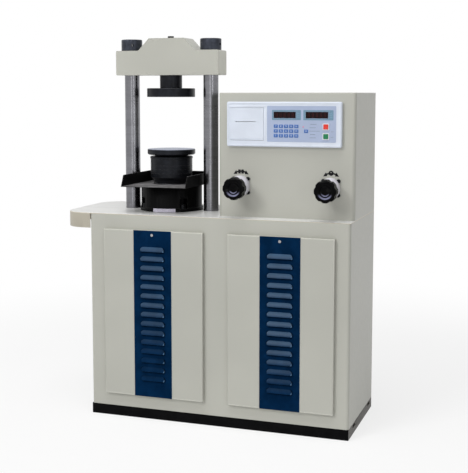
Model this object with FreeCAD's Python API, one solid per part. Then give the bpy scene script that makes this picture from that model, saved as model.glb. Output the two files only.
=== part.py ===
"""Compression testing machine: two-column hydraulic load frame on a steel cabinet.

Millimetres, +Z up. The origin is the centre of the cabinet's footprint on the floor,
X runs to the right as the operator stands, Y runs towards the back of the machine.
Cutters reach a millimetre or more past the faces they cut, so that no skin is left.
"""
import FreeCAD, Part
import math
import os

V = FreeCAD.Vector
X_AXIS = V(1, 0, 0)
Y_AXIS = V(0, 1, 0)
Z_AXIS = V(0, 0, 1)

# Common edge treatments and fits
edge_break = 1.0
bevel = 2.0
thread_clear = 0.05
let_in = 0.5

# Plinth
plinth_h = 34.0
rail_w = 42.0
rail_t = 4.0
tie_slot_l = 36.0
tie_slot_h = 10.0
tie_slot_r = 4.0
tie_slot_drop = 1.0
tie_slot_front = 81.0
tie_slot_back = 47.0
anchor_hole_d = 14.0
anchor_inset = 24.0
anchor_spacing_y = 280.0

# Cabinet
cabinet_w = 868.0
cabinet_d = 362.0
table_z = 672.0
sheet_t = 2.0
floor_t = 3.0
table_t = 3.0
cabinet_corner_r = 10.0
front_return = 30.0
overhang = 105.0
overhang_rim_h = 50.0
overhang_corner_r = 80.0
table_edge_r = 2.0
vent_slot_w = 70.0
vent_slot_h = 6.0
vent_slot_pitch = 18.0
vent_slot_count = 8
vent_from_top = 60.0

# Removable front panels with pressed louvres
panel_w = 342.0
panel_h = 545.0
panel_depth = 12.0
panel_t = 1.5
panel_z = 78.0
left_panel_inset = 55.0
right_panel_inset = 46.0
panel_seat_gap = 0.3
panel_edge_r = 2.5
aperture_margin = 20.0
aperture_top_margin = 8.0
aperture_corner_r = 6.0
tongue_w = 30.0
tongue_reach = 6.0
tongue_inset = 40.0
tongue_clear = 1.0
tongue_lift = 5.0
strip_w = 130.0
strip_t = 1.2
vent_w = 92.0
louvre_count = 15
louvre_pitch = 30.2
louvre_l = 82.0
louvre_h = 14.5
louvre_rise = 7.0
louvre_end_r = 6.0
louvre_shoulder_r = 11.0
louvre_arc_drop = 12.0
louvre_drop = 6.3
lock_drop = 14.0
lock_head_d = 9.0
lock_head_t = 2.5
lock_shank_d = 7.8
lock_fit = 0.1
lock_head_gap = 0.2
lock_slot_w = 1.4
lock_slot_depth = 1.0
cam_l = 16.0
cam_w = 10.0
cam_t = 2.5
cam_gap = 0.6

# Load frame
axis_from_left = 213.0
axis_from_front = 186.0
column_spacing = 283.0
column_d = 50.0
column_neck_d = 42.0
beam_side_gap = 16.0
beam_d = 230.0
beam_h = 75.0
beam_edge_r = 6.0
pedestal_t = 12.0
pedestal_d = 200.0
pedestal_flange_w = 46.0
pedestal_rib_h = 92.0
pedestal_hole_d = 110.0
foot_nut_d = 70.0
foot_nut_h = 36.0
crosshead_z = 1120.0
crosshead_h = 81.0
crosshead_w = 362.0
crosshead_d = 84.0
crosshead_edge_r = 4.0
hump_h = 40.0
hump_top_w = 124.0
hump_foot_w = 200.0
nut_d = 70.0
nut_h = 38.0
tommy_hole_d = 10.5
tommy_hole_depth = 14.0
left_tommy_deg = 27.0
right_tommy_deg = 82.0
thread_proud = 4.0
thread_recess = 2.0

# Upper platen, hung under the crosshead
platen_d = 160.0
upper_platen_z = 1048.0
upper_platen_t = 29.0
upper_spindle_d = 74.0
upper_spigot_d = 40.0
upper_spigot_l = 60.0
upper_spigot_gap = 1.0
platen_spigot_d = 30.0
platen_spigot_l = 10.0
centre_bolt_d = 12.0
centre_bolt_head_af = 19.0
centre_bolt_head_h = 7.5
centre_bolt_grip = 22.0
centre_bolt_clear = 0.5

# Hydraulic cylinder and ram
cylinder_d = 204.0
cylinder_foot_d = 211.0
cylinder_foot_h = 12.0
cylinder_top_z = 757.0
cylinder_tail_d = 152.0
cylinder_tail_clear = 1.0
cylinder_tail_z = 575.0
cylinder_end_t = 25.0
bolt_pocket_r = 12.5
bolt_pocket_h = 34.0
bolt_seat_depth = 2.0
bolt_clear = 0.5
cylinder_bolt_d = 14.0
cylinder_bolt_head_d = 21.0
cylinder_bolt_head_h = 14.0
cylinder_bolt_l = 36.0
cylinder_bolt_spare = 4.0
cylinder_bolt_hex = 12.0
cylinder_bolt_pcd = 182.0
cylinder_bolt_count = 4
gland_d = 150.0
gland_h = 15.0
gland_lead = 3.0
ram_d = 120.0
ram_fit = 0.05
ram_top_z = 762.0
ram_l = 150.0
seal_w = 8.0
seal_depth = 4.0
seal_inset = 12.0

# Ball-seated lower platen on its block
block_foot_d = 116.0
block_taper_h = 20.0
block_d = 140.0
block_lip_d = 143.0
block_lip_h = 8.0
block_top_z = 851.0
block_groove_w = 1.6
block_groove_depth = 1.2
block_groove_flank = 0.3
block_groove_pitch = 13.0
block_groove_count = 3
platen_gap = 6.0
lower_platen_t = 18.0
ball_r = 60.0
ball_gap = 0.3
platen_chamfer = 1.5

# Debris tray
tray_w = 226.0
tray_front = 160.0
tray_back = 100.0
tray_t = 2.0
tray_flange_h = 36.0
tray_setback = 18.0
tray_hole_clear = 1.0

# Control tower
tower_from_left = 428.5
ledge_d = 55.0
tower_top_z = 1062.0
tower_corner_r = 10.0
tower_top_r = 3.0
wire_hole_d = 25.0

# Controller on the tower
bezel_from_left = 460.0
bezel_z = 895.0
bezel_w = 367.0
bezel_h = 139.0
bezel_depth = 12.0
bezel_t = 2.5
bezel_corner_r = 5.0
bezel_edge_r = 2.0
overlay_from_left = 131.5
overlay_from_top = 12.6
overlay_w = 218.5
overlay_h = 111.0
overlay_t = 0.9
overlay_sink = 0.6
overlay_corner_r = 3.0
overlay_clear = 0.15
lens_sink = 0.2
display_w = 70.0
display_h = 19.5
display_t = 2.5
display_fit = 0.2
display_from_top = 30.8
display_from_left = 153.0
display_pitch = 102.0
key_w = 12.7
key_h = 10.0
key_rise = 0.5
key_pitch_x = 16.4
key_pitch_z = 14.6
key_columns = 5
key_rows = 3
key_from_left = 160.0
key_from_top = 75.1
spare_key_from_left = 256.4
button_w = 15.0
button_corner_r = 1.5
button_fit = 0.3
button_proud = 3.0
button_lip_w = 18.0
button_lip_t = 1.0
button_lip_gap = 0.3
button_stem_d = 6.0
button_travel = 2.0
button_from_left = 318.4
button_from_top = 75.8
button_pitch = 29.3
board_w = 200.0
board_h = 104.0
board_t = 1.6
board_gap = 6.0
board_post_d = 7.0
board_post_inset = 8.0
switch_w = 12.0
switch_rise = 1.0
switch_gap = 0.5

# Printer in the left part of the controller
printer_from_left = 11.0
printer_w = 109.5
door_from_top = 19.0
door_h = 95.0
door_t = 2.5
door_proud = 1.0
door_gap = 0.5
door_corner_r = 3.0
hinge_strip_h = 6.0
hinge_r = 2.2
hinge_pin_r = 1.0
hinge_pin_l = 3.0
hinge_pin_fit = 0.08
hinge_pin_end_gap = 0.3
hinge_web_relief = 0.4
slot_l = 67.0
slot_from_left = 51.0
slot_h = 1.6
slot_from_top = 43.0
printer_depth = 62.0
printer_wall = 2.5
printer_gap = 0.5
printer_fit = 0.3
roll_d = 42.0
roll_w = 57.0
roll_core_d = 12.5
roll_fit = 0.35
roll_drop = 6.0
tear_bar_d = 5.0

# Regulating valves and their handwheels
valve_spacing = 290.0
valve_from_tower_left = 74.5
valve_z = 767.0
valve_block_w = 64.0
valve_block_h = 70.0
valve_block_d = 70.0
valve_block_edge_r = 4.0
bonnet_d = 58.0
bonnet_l = 38.0
bonnet_nose_d = 44.0
bonnet_nose_l = 10.0
bonnet_spigot_d = 33.0
bonnet_spigot_l = 8.0
bonnet_slope = 4.0
spindle_d = 16.0
spindle_fit = 0.05
spindle_depth = 35.0
spindle_end_gap = 1.0
needle_l = 6.0
needle_r = 2.0
wheel_d = 71.0
wheel_t = 40.0
wheel_bore_l = 24.0
wheel_gap = 3.0
wheel_lobes = 8
wheel_scallop_r = 11.0
wheel_scallop_depth = 3.2
wheel_dish_r = 24.0
wheel_dish_depth = 5.0
wheel_ring_r = 15.0
wheel_ring_w = 6.0
wheel_ring_h = 1.8
wheel_rim_r = 6.0
wheel_boss_r = 5.0
wheel_boss_h = 1.2
wheel_hub_r = 17.0
wheel_hub_l = 8.0
sensor_d = 27.0
sensor_neck_d = 24.0
sensor_hex_h = 12.0
sensor_l = 62.0

# Oil tank, motor and pump
tank_from_left = 455.0
tank_from_front = 60.0
tank_right_margin = 42.0
tank_d = 250.0
tank_h = 220.0
tank_t = 3.0
tank_corner_r = 20.0
lid_t = 6.0
lid_lip = 8.0
cap_d = 50.0
cap_h = 30.0
cap_neck_d = 36.0
cap_neck_h = 10.0
cap_slope = 5.0
cap_from_left = 700.0
cap_from_front = 98.0
drive_from_front = 185.0
drive_height = 78.0
motor_d = 124.0
motor_l = 200.0
motor_from_left = 612.0
motor_fin_count = 24
motor_fin_h = 6.0
motor_fin_t = 3.0
motor_shield_l = 16.0
fan_cowl_l = 44.0
motor_shield_step = 8.0
fan_cowl_step = 1.0
fan_cowl_slope = 10.0
motor_foot_w = 130.0
motor_foot_l = 30.0
motor_foot_h = 12.0
motor_foot_inset = 10.0
motor_web_w = 86.0
terminal_w = 90.0
terminal_d = 76.0
terminal_rise = 20.0
terminal_inset = 14.0
shaft_d = 19.0
shaft_fit = 0.1
shaft_grip = 40.0
shaft_end_gap = 1.0
coupling_d = 56.0
coupling_l = 30.0
coupling_groove_w = 3.0
coupling_groove_depth = 4.0
pump_from_left = 486.0
pump_w = 82.0
pump_d = 92.0
pump_h = 122.0
pump_edge_r = 8.0

# Pipes
pipe_d = 12.0
feed_bend_r = 26.0
delivery_bend_r = 22.0
pipe_hole_clear = 4.0
pressure_port_x = 30.0
cylinder_run_z = 520.0
cylinder_run_from_front = 60.0
feed_port_dx = -18.0
feed_port_dy = 18.0
feed_run_z = 560.0
tank_dip = 150.0
cylinder_port_depth = 10.0
suction_offset = 12.0

# Places that follow from the sizes
left = -cabinet_w / 2
right = cabinet_w / 2
front = -cabinet_d / 2
back = cabinet_d / 2
axis_x = left + axis_from_left
axis_y = front + axis_from_front
beam_w = 2 * (axis_from_left - sheet_t - beam_side_gap)
beam_top = table_z - table_t
beam_bottom = beam_top - beam_h
floor_top = plinth_h + floor_t
crosshead_top = crosshead_z + crosshead_h
hump_top = crosshead_top + hump_h
bolt_seat_z = table_z + cylinder_foot_h - bolt_seat_depth
platen_top_z = block_top_z + platen_gap + lower_platen_t
tower_left = left + tower_from_left
tower_front = front + ledge_d
tower_back = back
bezel_left = left + bezel_from_left
bezel_top = bezel_z + bezel_h
bezel_front = tower_front - bezel_depth
tank_left = left + tank_from_left
tank_front = front + tank_from_front
tank_top = floor_top + tank_h
lid_top = tank_top + lid_t
drive_y = front + drive_from_front
drive_z = lid_top + drive_height
valve_x = [tower_left + valve_from_tower_left, tower_left + valve_from_tower_left + valve_spacing]
valve_port_y = tower_front + sheet_t + valve_block_d / 2
tank_w = valve_x[1] + tank_right_margin - tank_left


def block(x0, x1, y0, y1, z0, z1):
    """A box between two corners."""
    return Part.makeBox(x1 - x0, y1 - y0, z1 - z0, V(x0, y0, z0))


def rod(diameter, length, base, axis=Z_AXIS):
    """A cylinder of a given diameter from its base centre along an axis."""
    return Part.makeCylinder(diameter / 2, length, base, axis)


def edges_along(shape, axis, test):
    """Straight edges parallel to an axis whose middle point passes the test."""
    found = []
    for edge in shape.Edges:
        if len(edge.Vertexes) != 2 or edge.Curve.TypeId != "Part::GeomLine":
            continue
        run = edge.Vertexes[1].Point - edge.Vertexes[0].Point
        middle = edge.Vertexes[0].Point + run * 0.5
        if abs(abs(run.normalize() * axis) - 1) < 1e-6 and test(middle):
            found.append(edge)
    return found


def rounded(shape, axis, radius, test=lambda middle: True):
    """Fillet the straight edges along an axis that pass the test."""
    return shape.makeFillet(radius, edges_along(shape, axis, test))


def turned(profile, base, axis=Z_AXIS):
    """Revolve (radius, height) points, closed in order, about an axis through the base point."""
    points = [V(radius, 0, height) for radius, height in profile]
    face = Part.Face(Part.makePolygon(points + [points[0]]))
    solid = face.revolve(V(0, 0, 0), Z_AXIS, 360)
    solid.Placement = FreeCAD.Placement(base, FreeCAD.Rotation(Z_AXIS, axis))
    return solid


def tube(points, diameter, bend_r=0.0):
    """A round pipe filled by its bore: straight runs joined by tangent bends."""
    pieces = []
    start = points[0]
    for before, corner, after in zip(points, points[1:], points[2:]):
        into = (corner - before).normalize()
        out = (after - corner).normalize()
        turn = into.getAngle(out)
        setback = bend_r * math.tan(turn / 2)
        bend_start = corner - into * setback
        hub_axis = into.cross(out).normalize()
        hub = bend_start + hub_axis.cross(into) * bend_r
        pieces.append(rod(diameter, (bend_start - start).Length, start, into))
        ring = Part.Face(Part.Wire(Part.makeCircle(diameter / 2, bend_start, into)))
        pieces.append(ring.revolve(hub, hub_axis, math.degrees(turn)))
        start = corner + out * setback
    last = points[-1] - start
    pieces.append(rod(diameter, last.Length, start, last))
    return pieces[0].fuse(pieces[1:]).removeSplitter() if len(pieces) > 1 else pieces[0]


def cross_rails():
    """Front and rear plinth channels, open to the inside, notched for the side rails."""
    rails = []
    for face_y, inward in ((front, 1), (back, -1)):
        web = sorted((face_y, face_y + inward * rail_t))
        lip = sorted((face_y, face_y + inward * rail_w))
        rail = block(left, right, web[0], web[1], 0, plinth_h)
        for z in (0, plinth_h - rail_t):
            rail = rail.fuse(block(left + rail_w, right - rail_w, lip[0], lip[1], z, z + rail_t))
        rails.append(rail.removeSplitter())
    return Part.makeCompound(rails)


def side_rails():
    """Left and right plinth channels, with two tie slots high in each web and two anchor holes below."""
    rails = []
    y0 = front + rail_t
    y1 = back - rail_t
    for face_x, inward in ((left, 1), (right, -1)):
        web = sorted((face_x, face_x + inward * rail_t))
        lip = sorted((face_x, face_x + inward * rail_w))
        rail = block(web[0], web[1], y0, y1, 0, plinth_h)
        for z in (0, plinth_h - rail_t):
            rail = rail.fuse(block(lip[0], lip[1], y0, y1, z, z + rail_t))
        slot_top = plinth_h - rail_t - tie_slot_drop
        for y in (front + tie_slot_front, back - tie_slot_back):
            slot = block(web[0] - 1, web[1] + 1, y - tie_slot_l / 2, y + tie_slot_l / 2,
                         slot_top - tie_slot_h, slot_top)
            rail = rail.cut(rounded(slot, X_AXIS, tie_slot_r))
        for y in (-anchor_spacing_y / 2, anchor_spacing_y / 2):
            rail = rail.cut(rod(anchor_hole_d, rail_t + 2, V(face_x + inward * anchor_inset, y, -1)))
        rails.append(rail.removeSplitter())
    return Part.makeCompound(rails)


def cabinet_floor():
    """Floor plate on the plinth, inside the cabinet walls."""
    plate = block(left + sheet_t, right - sheet_t, front + sheet_t, back - sheet_t, plinth_h, floor_top)
    return rounded(plate, Z_AXIS, cabinet_corner_r - sheet_t, lambda m: m.y < 0)


def panel_lefts():
    """Left edges of the two front panels."""
    return left + left_panel_inset, right - right_panel_inset - panel_w


def aperture(panel_left):
    """Opening in the cabinet front behind one panel, as its four limits."""
    return (panel_left + aperture_margin, panel_left + panel_w - aperture_margin,
            panel_z + aperture_margin, panel_z + panel_h - aperture_top_margin)


def tongue_centres(panel_left):
    """Middles of the two tongues along the bottom edge of one panel."""
    return panel_left + tongue_inset, panel_left + panel_w - tongue_inset


def cabinet_front():
    """Front sheet folded round both front corners, with an aperture behind each panel."""
    outer = block(left, right, front, front + front_return, plinth_h, beam_top)
    outer = rounded(outer, Z_AXIS, cabinet_corner_r, lambda m: m.y < front + 1)
    inner = block(left + sheet_t, right - sheet_t, front + sheet_t, back, plinth_h - 1, beam_top + 1)
    inner = rounded(inner, Z_AXIS, cabinet_corner_r - sheet_t, lambda m: m.y < 0)
    wall = outer.cut(inner)
    for panel_left in panel_lefts():
        x0, x1, z0, z1 = aperture(panel_left)
        hole = block(x0, x1, front - 1, front + sheet_t + 1, z0, z1)
        wall = wall.cut(rounded(hole, Y_AXIS, aperture_corner_r))
        for x in tongue_centres(panel_left):
            half = tongue_w / 2 + tongue_clear
            wall = wall.cut(block(x - half, x + half, front - 1, front + sheet_t + 1,
                                  panel_z - tongue_clear, panel_z + panel_t + tongue_lift))
    return wall


def cabinet_side(inner_x, outer_x):
    """Plain side sheet between the front returns and the rear cover."""
    x0, x1 = sorted((inner_x, outer_x))
    return block(x0, x1, front + front_return, back, plinth_h, beam_top)


def cabinet_rear_cover():
    """Rear sheet between the side sheets, with two stacks of ventilation slots."""
    cover = block(left + sheet_t, right - sheet_t, back - sheet_t, back, plinth_h, beam_top)
    middle_z = (plinth_h + beam_top) / 2
    for x in (left / 2, right / 2):
        for row in range(vent_slot_count):
            z = middle_z + (row - (vent_slot_count - 1) / 2) * vent_slot_pitch
            slot = block(x - vent_slot_w / 2, x + vent_slot_w / 2, back - sheet_t - 1, back + 1,
                         z - vent_slot_h / 2, z + vent_slot_h / 2)
            cover = cover.cut(slot)
    return cover


def table_outline(offset):
    """Plan outline of the table, moved in by an offset, with round left corners."""
    r = overhang_corner_r - offset
    x0 = left - overhang + offset
    x1 = right - offset
    y0 = front + offset
    y1 = back - offset
    c = math.cos(math.radians(45)) * r
    lower = Part.Arc(V(x0, y0 + r, 0), V(x0 + r - c, y0 + r - c, 0), V(x0 + r, y0, 0))
    upper = Part.Arc(V(x0 + r, y1, 0), V(x0 + r - c, y1 - r + c, 0), V(x0, y1 - r, 0))
    return Part.Wire([Part.makeLine(V(x0 + r, y0, 0), V(x1, y0, 0)),
                      Part.makeLine(V(x1, y0, 0), V(x1, y1, 0)),
                      Part.makeLine(V(x1, y1, 0), V(x0 + r, y1, 0)),
                      upper.toShape(),
                      Part.makeLine(V(x0, y1 - r, 0), V(x0, y0 + r, 0)),
                      lower.toShape()])


def extruded(wire, z0, z1):
    """Plan outline raised between two heights."""
    solid = Part.Face(wire).extrude(V(0, 0, z1 - z0))
    solid.translate(V(0, 0, z0))
    return solid


def table_top():
    """Table sheet with a deep rolled rim round the overhang, holed for columns, cylinder and pipes."""
    sheet = extruded(table_outline(0), beam_top, table_z)
    top_edges = [e for e in sheet.Edges if all(v.Point.z > table_z - 0.01 for v in e.Vertexes)]
    front_edges = [e for e in top_edges if e.CenterOfMass.y < front + 0.01]
    sheet = sheet.makeFillet(table_edge_r, front_edges)
    rim = extruded(table_outline(0), table_z - overhang_rim_h, beam_top)
    rim = rim.cut(extruded(table_outline(table_t), table_z - overhang_rim_h - 1, beam_top + 1))
    rim = rim.common(block(left - overhang - 1, left, front - 1, back + 1, 0, table_z))
    top = sheet.fuse(rim)
    for x in column_places():
        top = top.cut(rod(column_d + 1, table_t + 2, V(x, axis_y, beam_top - 1)))
    top = top.cut(rod(cylinder_tail_d + 2 * cylinder_tail_clear, table_t + 2,
                      V(axis_x, axis_y, beam_top - 1)))
    for place in cylinder_bolt_places():
        top = top.cut(rod(cylinder_bolt_d + 2 * bolt_clear, 2 * table_t, place - Z_AXIS))
    for x, y in pipe_holes():
        top = top.cut(rod(pipe_d + 2 * pipe_hole_clear, table_t + 2, V(x, y, beam_top - 1)))
    return top.removeSplitter()


def pipe_holes():
    """Where the pipes pass up through the table into the tower."""
    return [(valve_x[0], valve_port_y),
            (valve_x[0] + feed_port_dx, valve_port_y + feed_port_dy),
            (valve_x[1], valve_port_y)]


def column_places():
    """X of the left and right columns."""
    return axis_x - column_spacing / 2, axis_x + column_spacing / 2


def panel(panel_left):
    """Folded front panel: a shallow tray with tongues at the foot and a vent behind its louvres."""
    y1 = front - panel_seat_gap
    y0 = y1 - panel_depth
    top = panel_z + panel_h
    tray = block(panel_left, panel_left + panel_w, y0, y1, panel_z, top)
    tray = rounded(tray, Z_AXIS, panel_edge_r, lambda m: m.y < y0 + 1)
    hollow = block(panel_left + panel_t, panel_left + panel_w - panel_t, y0 + panel_t, y1 + 1,
                   panel_z + panel_t, top - panel_t)
    tray = tray.cut(rounded(hollow, Z_AXIS, panel_edge_r - panel_t, lambda m: m.y < y1))
    for x in tongue_centres(panel_left):
        tray = tray.fuse(block(x - tongue_w / 2, x + tongue_w / 2, y1 - panel_depth / 2,
                               y1 + tongue_reach, panel_z, panel_z + panel_t))
    middle = panel_left + panel_w / 2
    half_run = (louvre_count - 1) * louvre_pitch / 2 + louvre_h
    centre_z = panel_z + panel_h / 2
    tray = tray.cut(block(middle - vent_w / 2, middle + vent_w / 2, y0 - 1, y0 + panel_t + 1,
                          centre_z - half_run, centre_z + half_run))
    return tray.cut(lock_hole(panel_left)).removeSplitter()


def lock_centre(panel_left):
    """Axis of a panel lock, on the outer face of its louvre strip."""
    return V(panel_left + panel_w / 2, front - panel_seat_gap - panel_depth - strip_t,
             panel_z + panel_h - lock_drop)


def lock_hole(panel_left):
    """Clearance for the lock shank through strip and panel."""
    return rod(lock_shank_d + 2 * lock_fit, panel_depth, lock_centre(panel_left) - Y_AXIS, Y_AXIS)


def louvre_form(middle, face_y, lip_z, inset):
    """Solid inside one louvre's skin: an arched hood over its lip, with round ends and shoulders."""
    drop = louvre_arc_drop
    depth = (louvre_h ** 2 + 2 * louvre_h * drop - louvre_rise ** 2) / (2 * louvre_rise)
    radius = math.hypot(depth + louvre_rise, drop) - inset
    x0 = middle - louvre_l / 2 + inset
    x1 = middle + louvre_l / 2 - inset
    arch = rod(2 * radius, x1 - x0, V(x0, face_y + depth, lip_z - drop), X_AXIS)
    plan = block(x0, x1, face_y - louvre_rise + inset, face_y + strip_t, lip_z, lip_z + louvre_h)
    plan = rounded(plan, Z_AXIS, louvre_end_r - inset, lambda m: m.y < face_y)
    shoulders = block(x0, x1, face_y - louvre_rise, face_y + strip_t, lip_z, lip_z + louvre_h - inset)
    shoulders = rounded(shoulders, Y_AXIS, louvre_shoulder_r - inset, lambda m: m.z > lip_z + 1)
    return arch.common(plan).common(shoulders)


def louvre_strip(panel_left):
    """Thin strip on the panel face with a column of pressed hoods, each open at its lower lip."""
    middle = panel_left + panel_w / 2
    y1 = front - panel_seat_gap - panel_depth
    y0 = y1 - strip_t
    first_z = panel_z + panel_h / 2 - louvre_drop - (louvre_count - 1) / 2 * louvre_pitch
    strip = block(middle - strip_w / 2, middle + strip_w / 2, y0, y1, panel_z, panel_z + panel_h)
    hoods = [louvre_form(middle, y0, first_z + i * louvre_pitch, 0) for i in range(louvre_count)]
    hollows = [louvre_form(middle, y0, first_z + i * louvre_pitch, strip_t) for i in range(louvre_count)]
    return strip.fuse(hoods).cut(hollows).cut(lock_hole(panel_left)).removeSplitter()


def panel_lock(panel_left):
    """Quarter-turn lock: slotted head in front, cam behind the cabinet sheet, shown unlocked."""
    centre = lock_centre(panel_left)
    head_y = centre.y - lock_head_gap - lock_head_t
    head = rod(lock_head_d, lock_head_t, V(centre.x, head_y, centre.z), Y_AXIS)
    slot = block(centre.x - lock_head_d, centre.x + lock_head_d, head_y - 1, head_y + lock_slot_depth,
                 centre.z - lock_slot_w / 2, centre.z + lock_slot_w / 2)
    cam_y = front + sheet_t + cam_gap
    shank_y = head_y + lock_head_t
    shank = rod(lock_shank_d, cam_y + cam_t - shank_y, V(centre.x, shank_y, centre.z), Y_AXIS)
    cam = block(centre.x, centre.x + cam_l, cam_y, cam_y + cam_t, centre.z - cam_w / 2, centre.z + cam_w / 2)
    cam = cam.fuse(rod(cam_w, cam_t, V(centre.x, cam_y, centre.z), Y_AXIS))
    return head.cut(slot).fuse(shank).fuse(cam).removeSplitter()


def load_beam():
    """Thick bearing beam under the table, bored for the columns and the cylinder's tail."""
    beam = block(axis_x - beam_w / 2, axis_x + beam_w / 2, axis_y - beam_d / 2, axis_y + beam_d / 2,
                 beam_bottom, beam_top)
    beam = rounded(beam, Z_AXIS, beam_edge_r)
    for x in column_places():
        beam = beam.cut(rod(column_neck_d + 2 * thread_clear, beam_h + 2, V(x, axis_y, beam_bottom - 1)))
    beam = beam.cut(rod(cylinder_tail_d + 2 * cylinder_tail_clear, beam_h + 2,
                        V(axis_x, axis_y, beam_bottom - 1)))
    for place in cylinder_bolt_places():
        bottom = place - Z_AXIS * cylinder_bolt_l
        beam = beam.cut(rod(cylinder_bolt_d + 2 * thread_clear, cylinder_bolt_l, bottom))
    return beam


def beam_pedestals():
    """Welded plate legs that carry the beam's ends down to the floor plate."""
    legs = []
    for side in (-1, 1):
        outer = axis_x + side * beam_w / 2
        web = sorted((outer, outer - side * pedestal_t))
        lip = sorted((outer, outer - side * pedestal_flange_w))
        y0 = axis_y - pedestal_d / 2
        y1 = axis_y + pedestal_d / 2
        leg = block(web[0], web[1], y0, y1, floor_top, beam_bottom)
        leg = leg.fuse(block(lip[0], lip[1], y0, y1, floor_top, floor_top + pedestal_t))
        rib = block(lip[0], lip[1], axis_y - pedestal_t / 2, axis_y + pedestal_t / 2,
                    floor_top, floor_top + pedestal_rib_h)
        leg = leg.fuse(rib)
        middle_z = (floor_top + beam_bottom) / 2
        hole = rod(pedestal_hole_d, pedestal_t + 2, V(web[0] - 1, axis_y, middle_z), X_AXIS)
        legs.append(leg.cut(hole).removeSplitter())
    return Part.makeCompound(legs)


def column(x):
    """Ground column, shouldered on the beam and under the crosshead, with threaded necks."""
    foot = beam_bottom - foot_nut_h - thread_proud
    head = crosshead_top + nut_h - thread_recess
    neck_r = column_neck_d / 2
    r = column_d / 2
    profile = [(0, foot), (neck_r - bevel, foot), (neck_r, foot + bevel), (neck_r, beam_top),
               (r, beam_top), (r, crosshead_z), (neck_r, crosshead_z),
               (neck_r, head - bevel), (neck_r - bevel, head), (0, head)]
    return turned(profile, V(x, axis_y, 0))


def ring_nut(x, z, diameter, height):
    """Round nut with chamfered rims, bored for a column neck."""
    r = diameter / 2
    bore = column_neck_d / 2 + thread_clear
    profile = [(bore, 0), (r - bevel, 0), (r, bevel), (r, height - bevel), (r - bevel, height),
               (bore, height)]
    return turned(profile, V(x, axis_y, z))


def column_nuts():
    """The two crosshead nuts, each with a pair of tommy-bar holes across."""
    nuts = []
    for x, degrees in zip(column_places(), (left_tommy_deg, right_tommy_deg)):
        nut = ring_nut(x, crosshead_top, nut_d, nut_h)
        for turn in (0, 180):
            angle = math.radians(degrees + turn - 90)
            outward = V(math.cos(angle), math.sin(angle), 0)
            start = V(x, axis_y, crosshead_top + nut_h / 2) + outward * (nut_d / 2 - tommy_hole_depth)
            nut = nut.cut(rod(tommy_hole_d, tommy_hole_depth + 2, start, outward))
        nuts.append(nut)
    return Part.makeCompound(nuts)


def column_foot_nuts():
    """The two nuts under the beam."""
    return Part.makeCompound([ring_nut(x, beam_bottom - foot_nut_h, foot_nut_d, foot_nut_h)
                              for x in column_places()])


def crosshead():
    """Top crosshead: a bar with a raised middle, bored for the columns and the upper spindle."""
    y0 = axis_y - crosshead_d / 2
    half = crosshead_w / 2
    outline = [(-half, crosshead_z), (half, crosshead_z), (half, crosshead_top),
               (hump_foot_w / 2, crosshead_top), (hump_top_w / 2, hump_top),
               (-hump_top_w / 2, hump_top), (-hump_foot_w / 2, crosshead_top), (-half, crosshead_top)]
    points = [V(axis_x + x, y0, z) for x, z in outline]
    head = Part.Face(Part.makePolygon(points + [points[0]])).extrude(V(0, crosshead_d, 0))
    head = rounded(head, Y_AXIS, crosshead_edge_r,
                   lambda m: abs(m.x - axis_x) > half - 1 or m.z > crosshead_top + 1)
    for x in column_places():
        neck = rod(column_neck_d + 2 * thread_clear, crosshead_h + 2, V(x, axis_y, crosshead_z - 1))
        head = head.cut(neck)
    spigot = rod(upper_spigot_d + 2 * thread_clear, upper_spigot_l + 1, V(axis_x, axis_y, crosshead_z - 1))
    shank = rod(centre_bolt_d + 2 * centre_bolt_clear, hump_top - crosshead_z, V(axis_x, axis_y, crosshead_z))
    return head.cut(spigot).cut(shank)


def upper_spindle():
    """Black neck between crosshead and upper platen, spigoted into both."""
    r = upper_spindle_d / 2
    flange_z = upper_platen_z + upper_platen_t
    spigot_z = crosshead_z + upper_spigot_l - upper_spigot_gap
    profile = [(0, flange_z), (r - bevel, flange_z), (r, flange_z + bevel), (r, crosshead_z),
               (upper_spigot_d / 2, crosshead_z), (upper_spigot_d / 2, spigot_z), (0, spigot_z)]
    neck = turned(profile, V(axis_x, axis_y, 0))
    neck = neck.fuse(rod(platen_spigot_d, platen_spigot_l, V(axis_x, axis_y, flange_z - platen_spigot_l)))
    tapped = rod(centre_bolt_d + 2 * thread_clear, centre_bolt_grip,
                 V(axis_x, axis_y, spigot_z - centre_bolt_grip))
    return neck.cut(tapped).removeSplitter()


def upper_platen():
    """Hardened upper platen with a recess for the spindle's spigot."""
    r = platen_d / 2
    c = platen_chamfer
    z0 = upper_platen_z
    z1 = z0 + upper_platen_t
    profile = [(0, z0), (r - c, z0), (r, z0 + c), (r, z1 - c), (r - c, z1), (0, z1)]
    disc = turned(profile, V(axis_x, axis_y, 0))
    return disc.cut(rod(platen_spigot_d + 2 * thread_clear, platen_spigot_l + 1,
                        V(axis_x, axis_y, z1 - platen_spigot_l)))


def hexagon(across_flats, height, centre):
    """Hexagonal prism standing on a centre point."""
    radius = across_flats / math.sqrt(3)
    points = [centre + V(radius * math.cos(math.radians(60 * i)), radius * math.sin(math.radians(60 * i)), 0)
              for i in range(7)]
    return Part.Face(Part.makePolygon(points)).extrude(V(0, 0, height))


def crosshead_bolt():
    """Hexagon bolt that draws the upper spindle into the crosshead."""
    bottom = crosshead_z + upper_spigot_l - upper_spigot_gap - centre_bolt_grip
    shank = rod(centre_bolt_d, hump_top - bottom, V(axis_x, axis_y, bottom))
    return shank.fuse(hexagon(centre_bolt_head_af, centre_bolt_head_h, V(axis_x, axis_y, hump_top)))


def cylinder_bolt_places():
    """Centres of the cylinder's foot bolts on the beam's top face."""
    places = []
    for i in range(cylinder_bolt_count):
        angle = math.radians(360 / cylinder_bolt_count * (i + 0.5))
        places.append(V(axis_x + cylinder_bolt_pcd / 2 * math.cos(angle),
                        axis_y + cylinder_bolt_pcd / 2 * math.sin(angle), beam_top))
    return places


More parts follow.
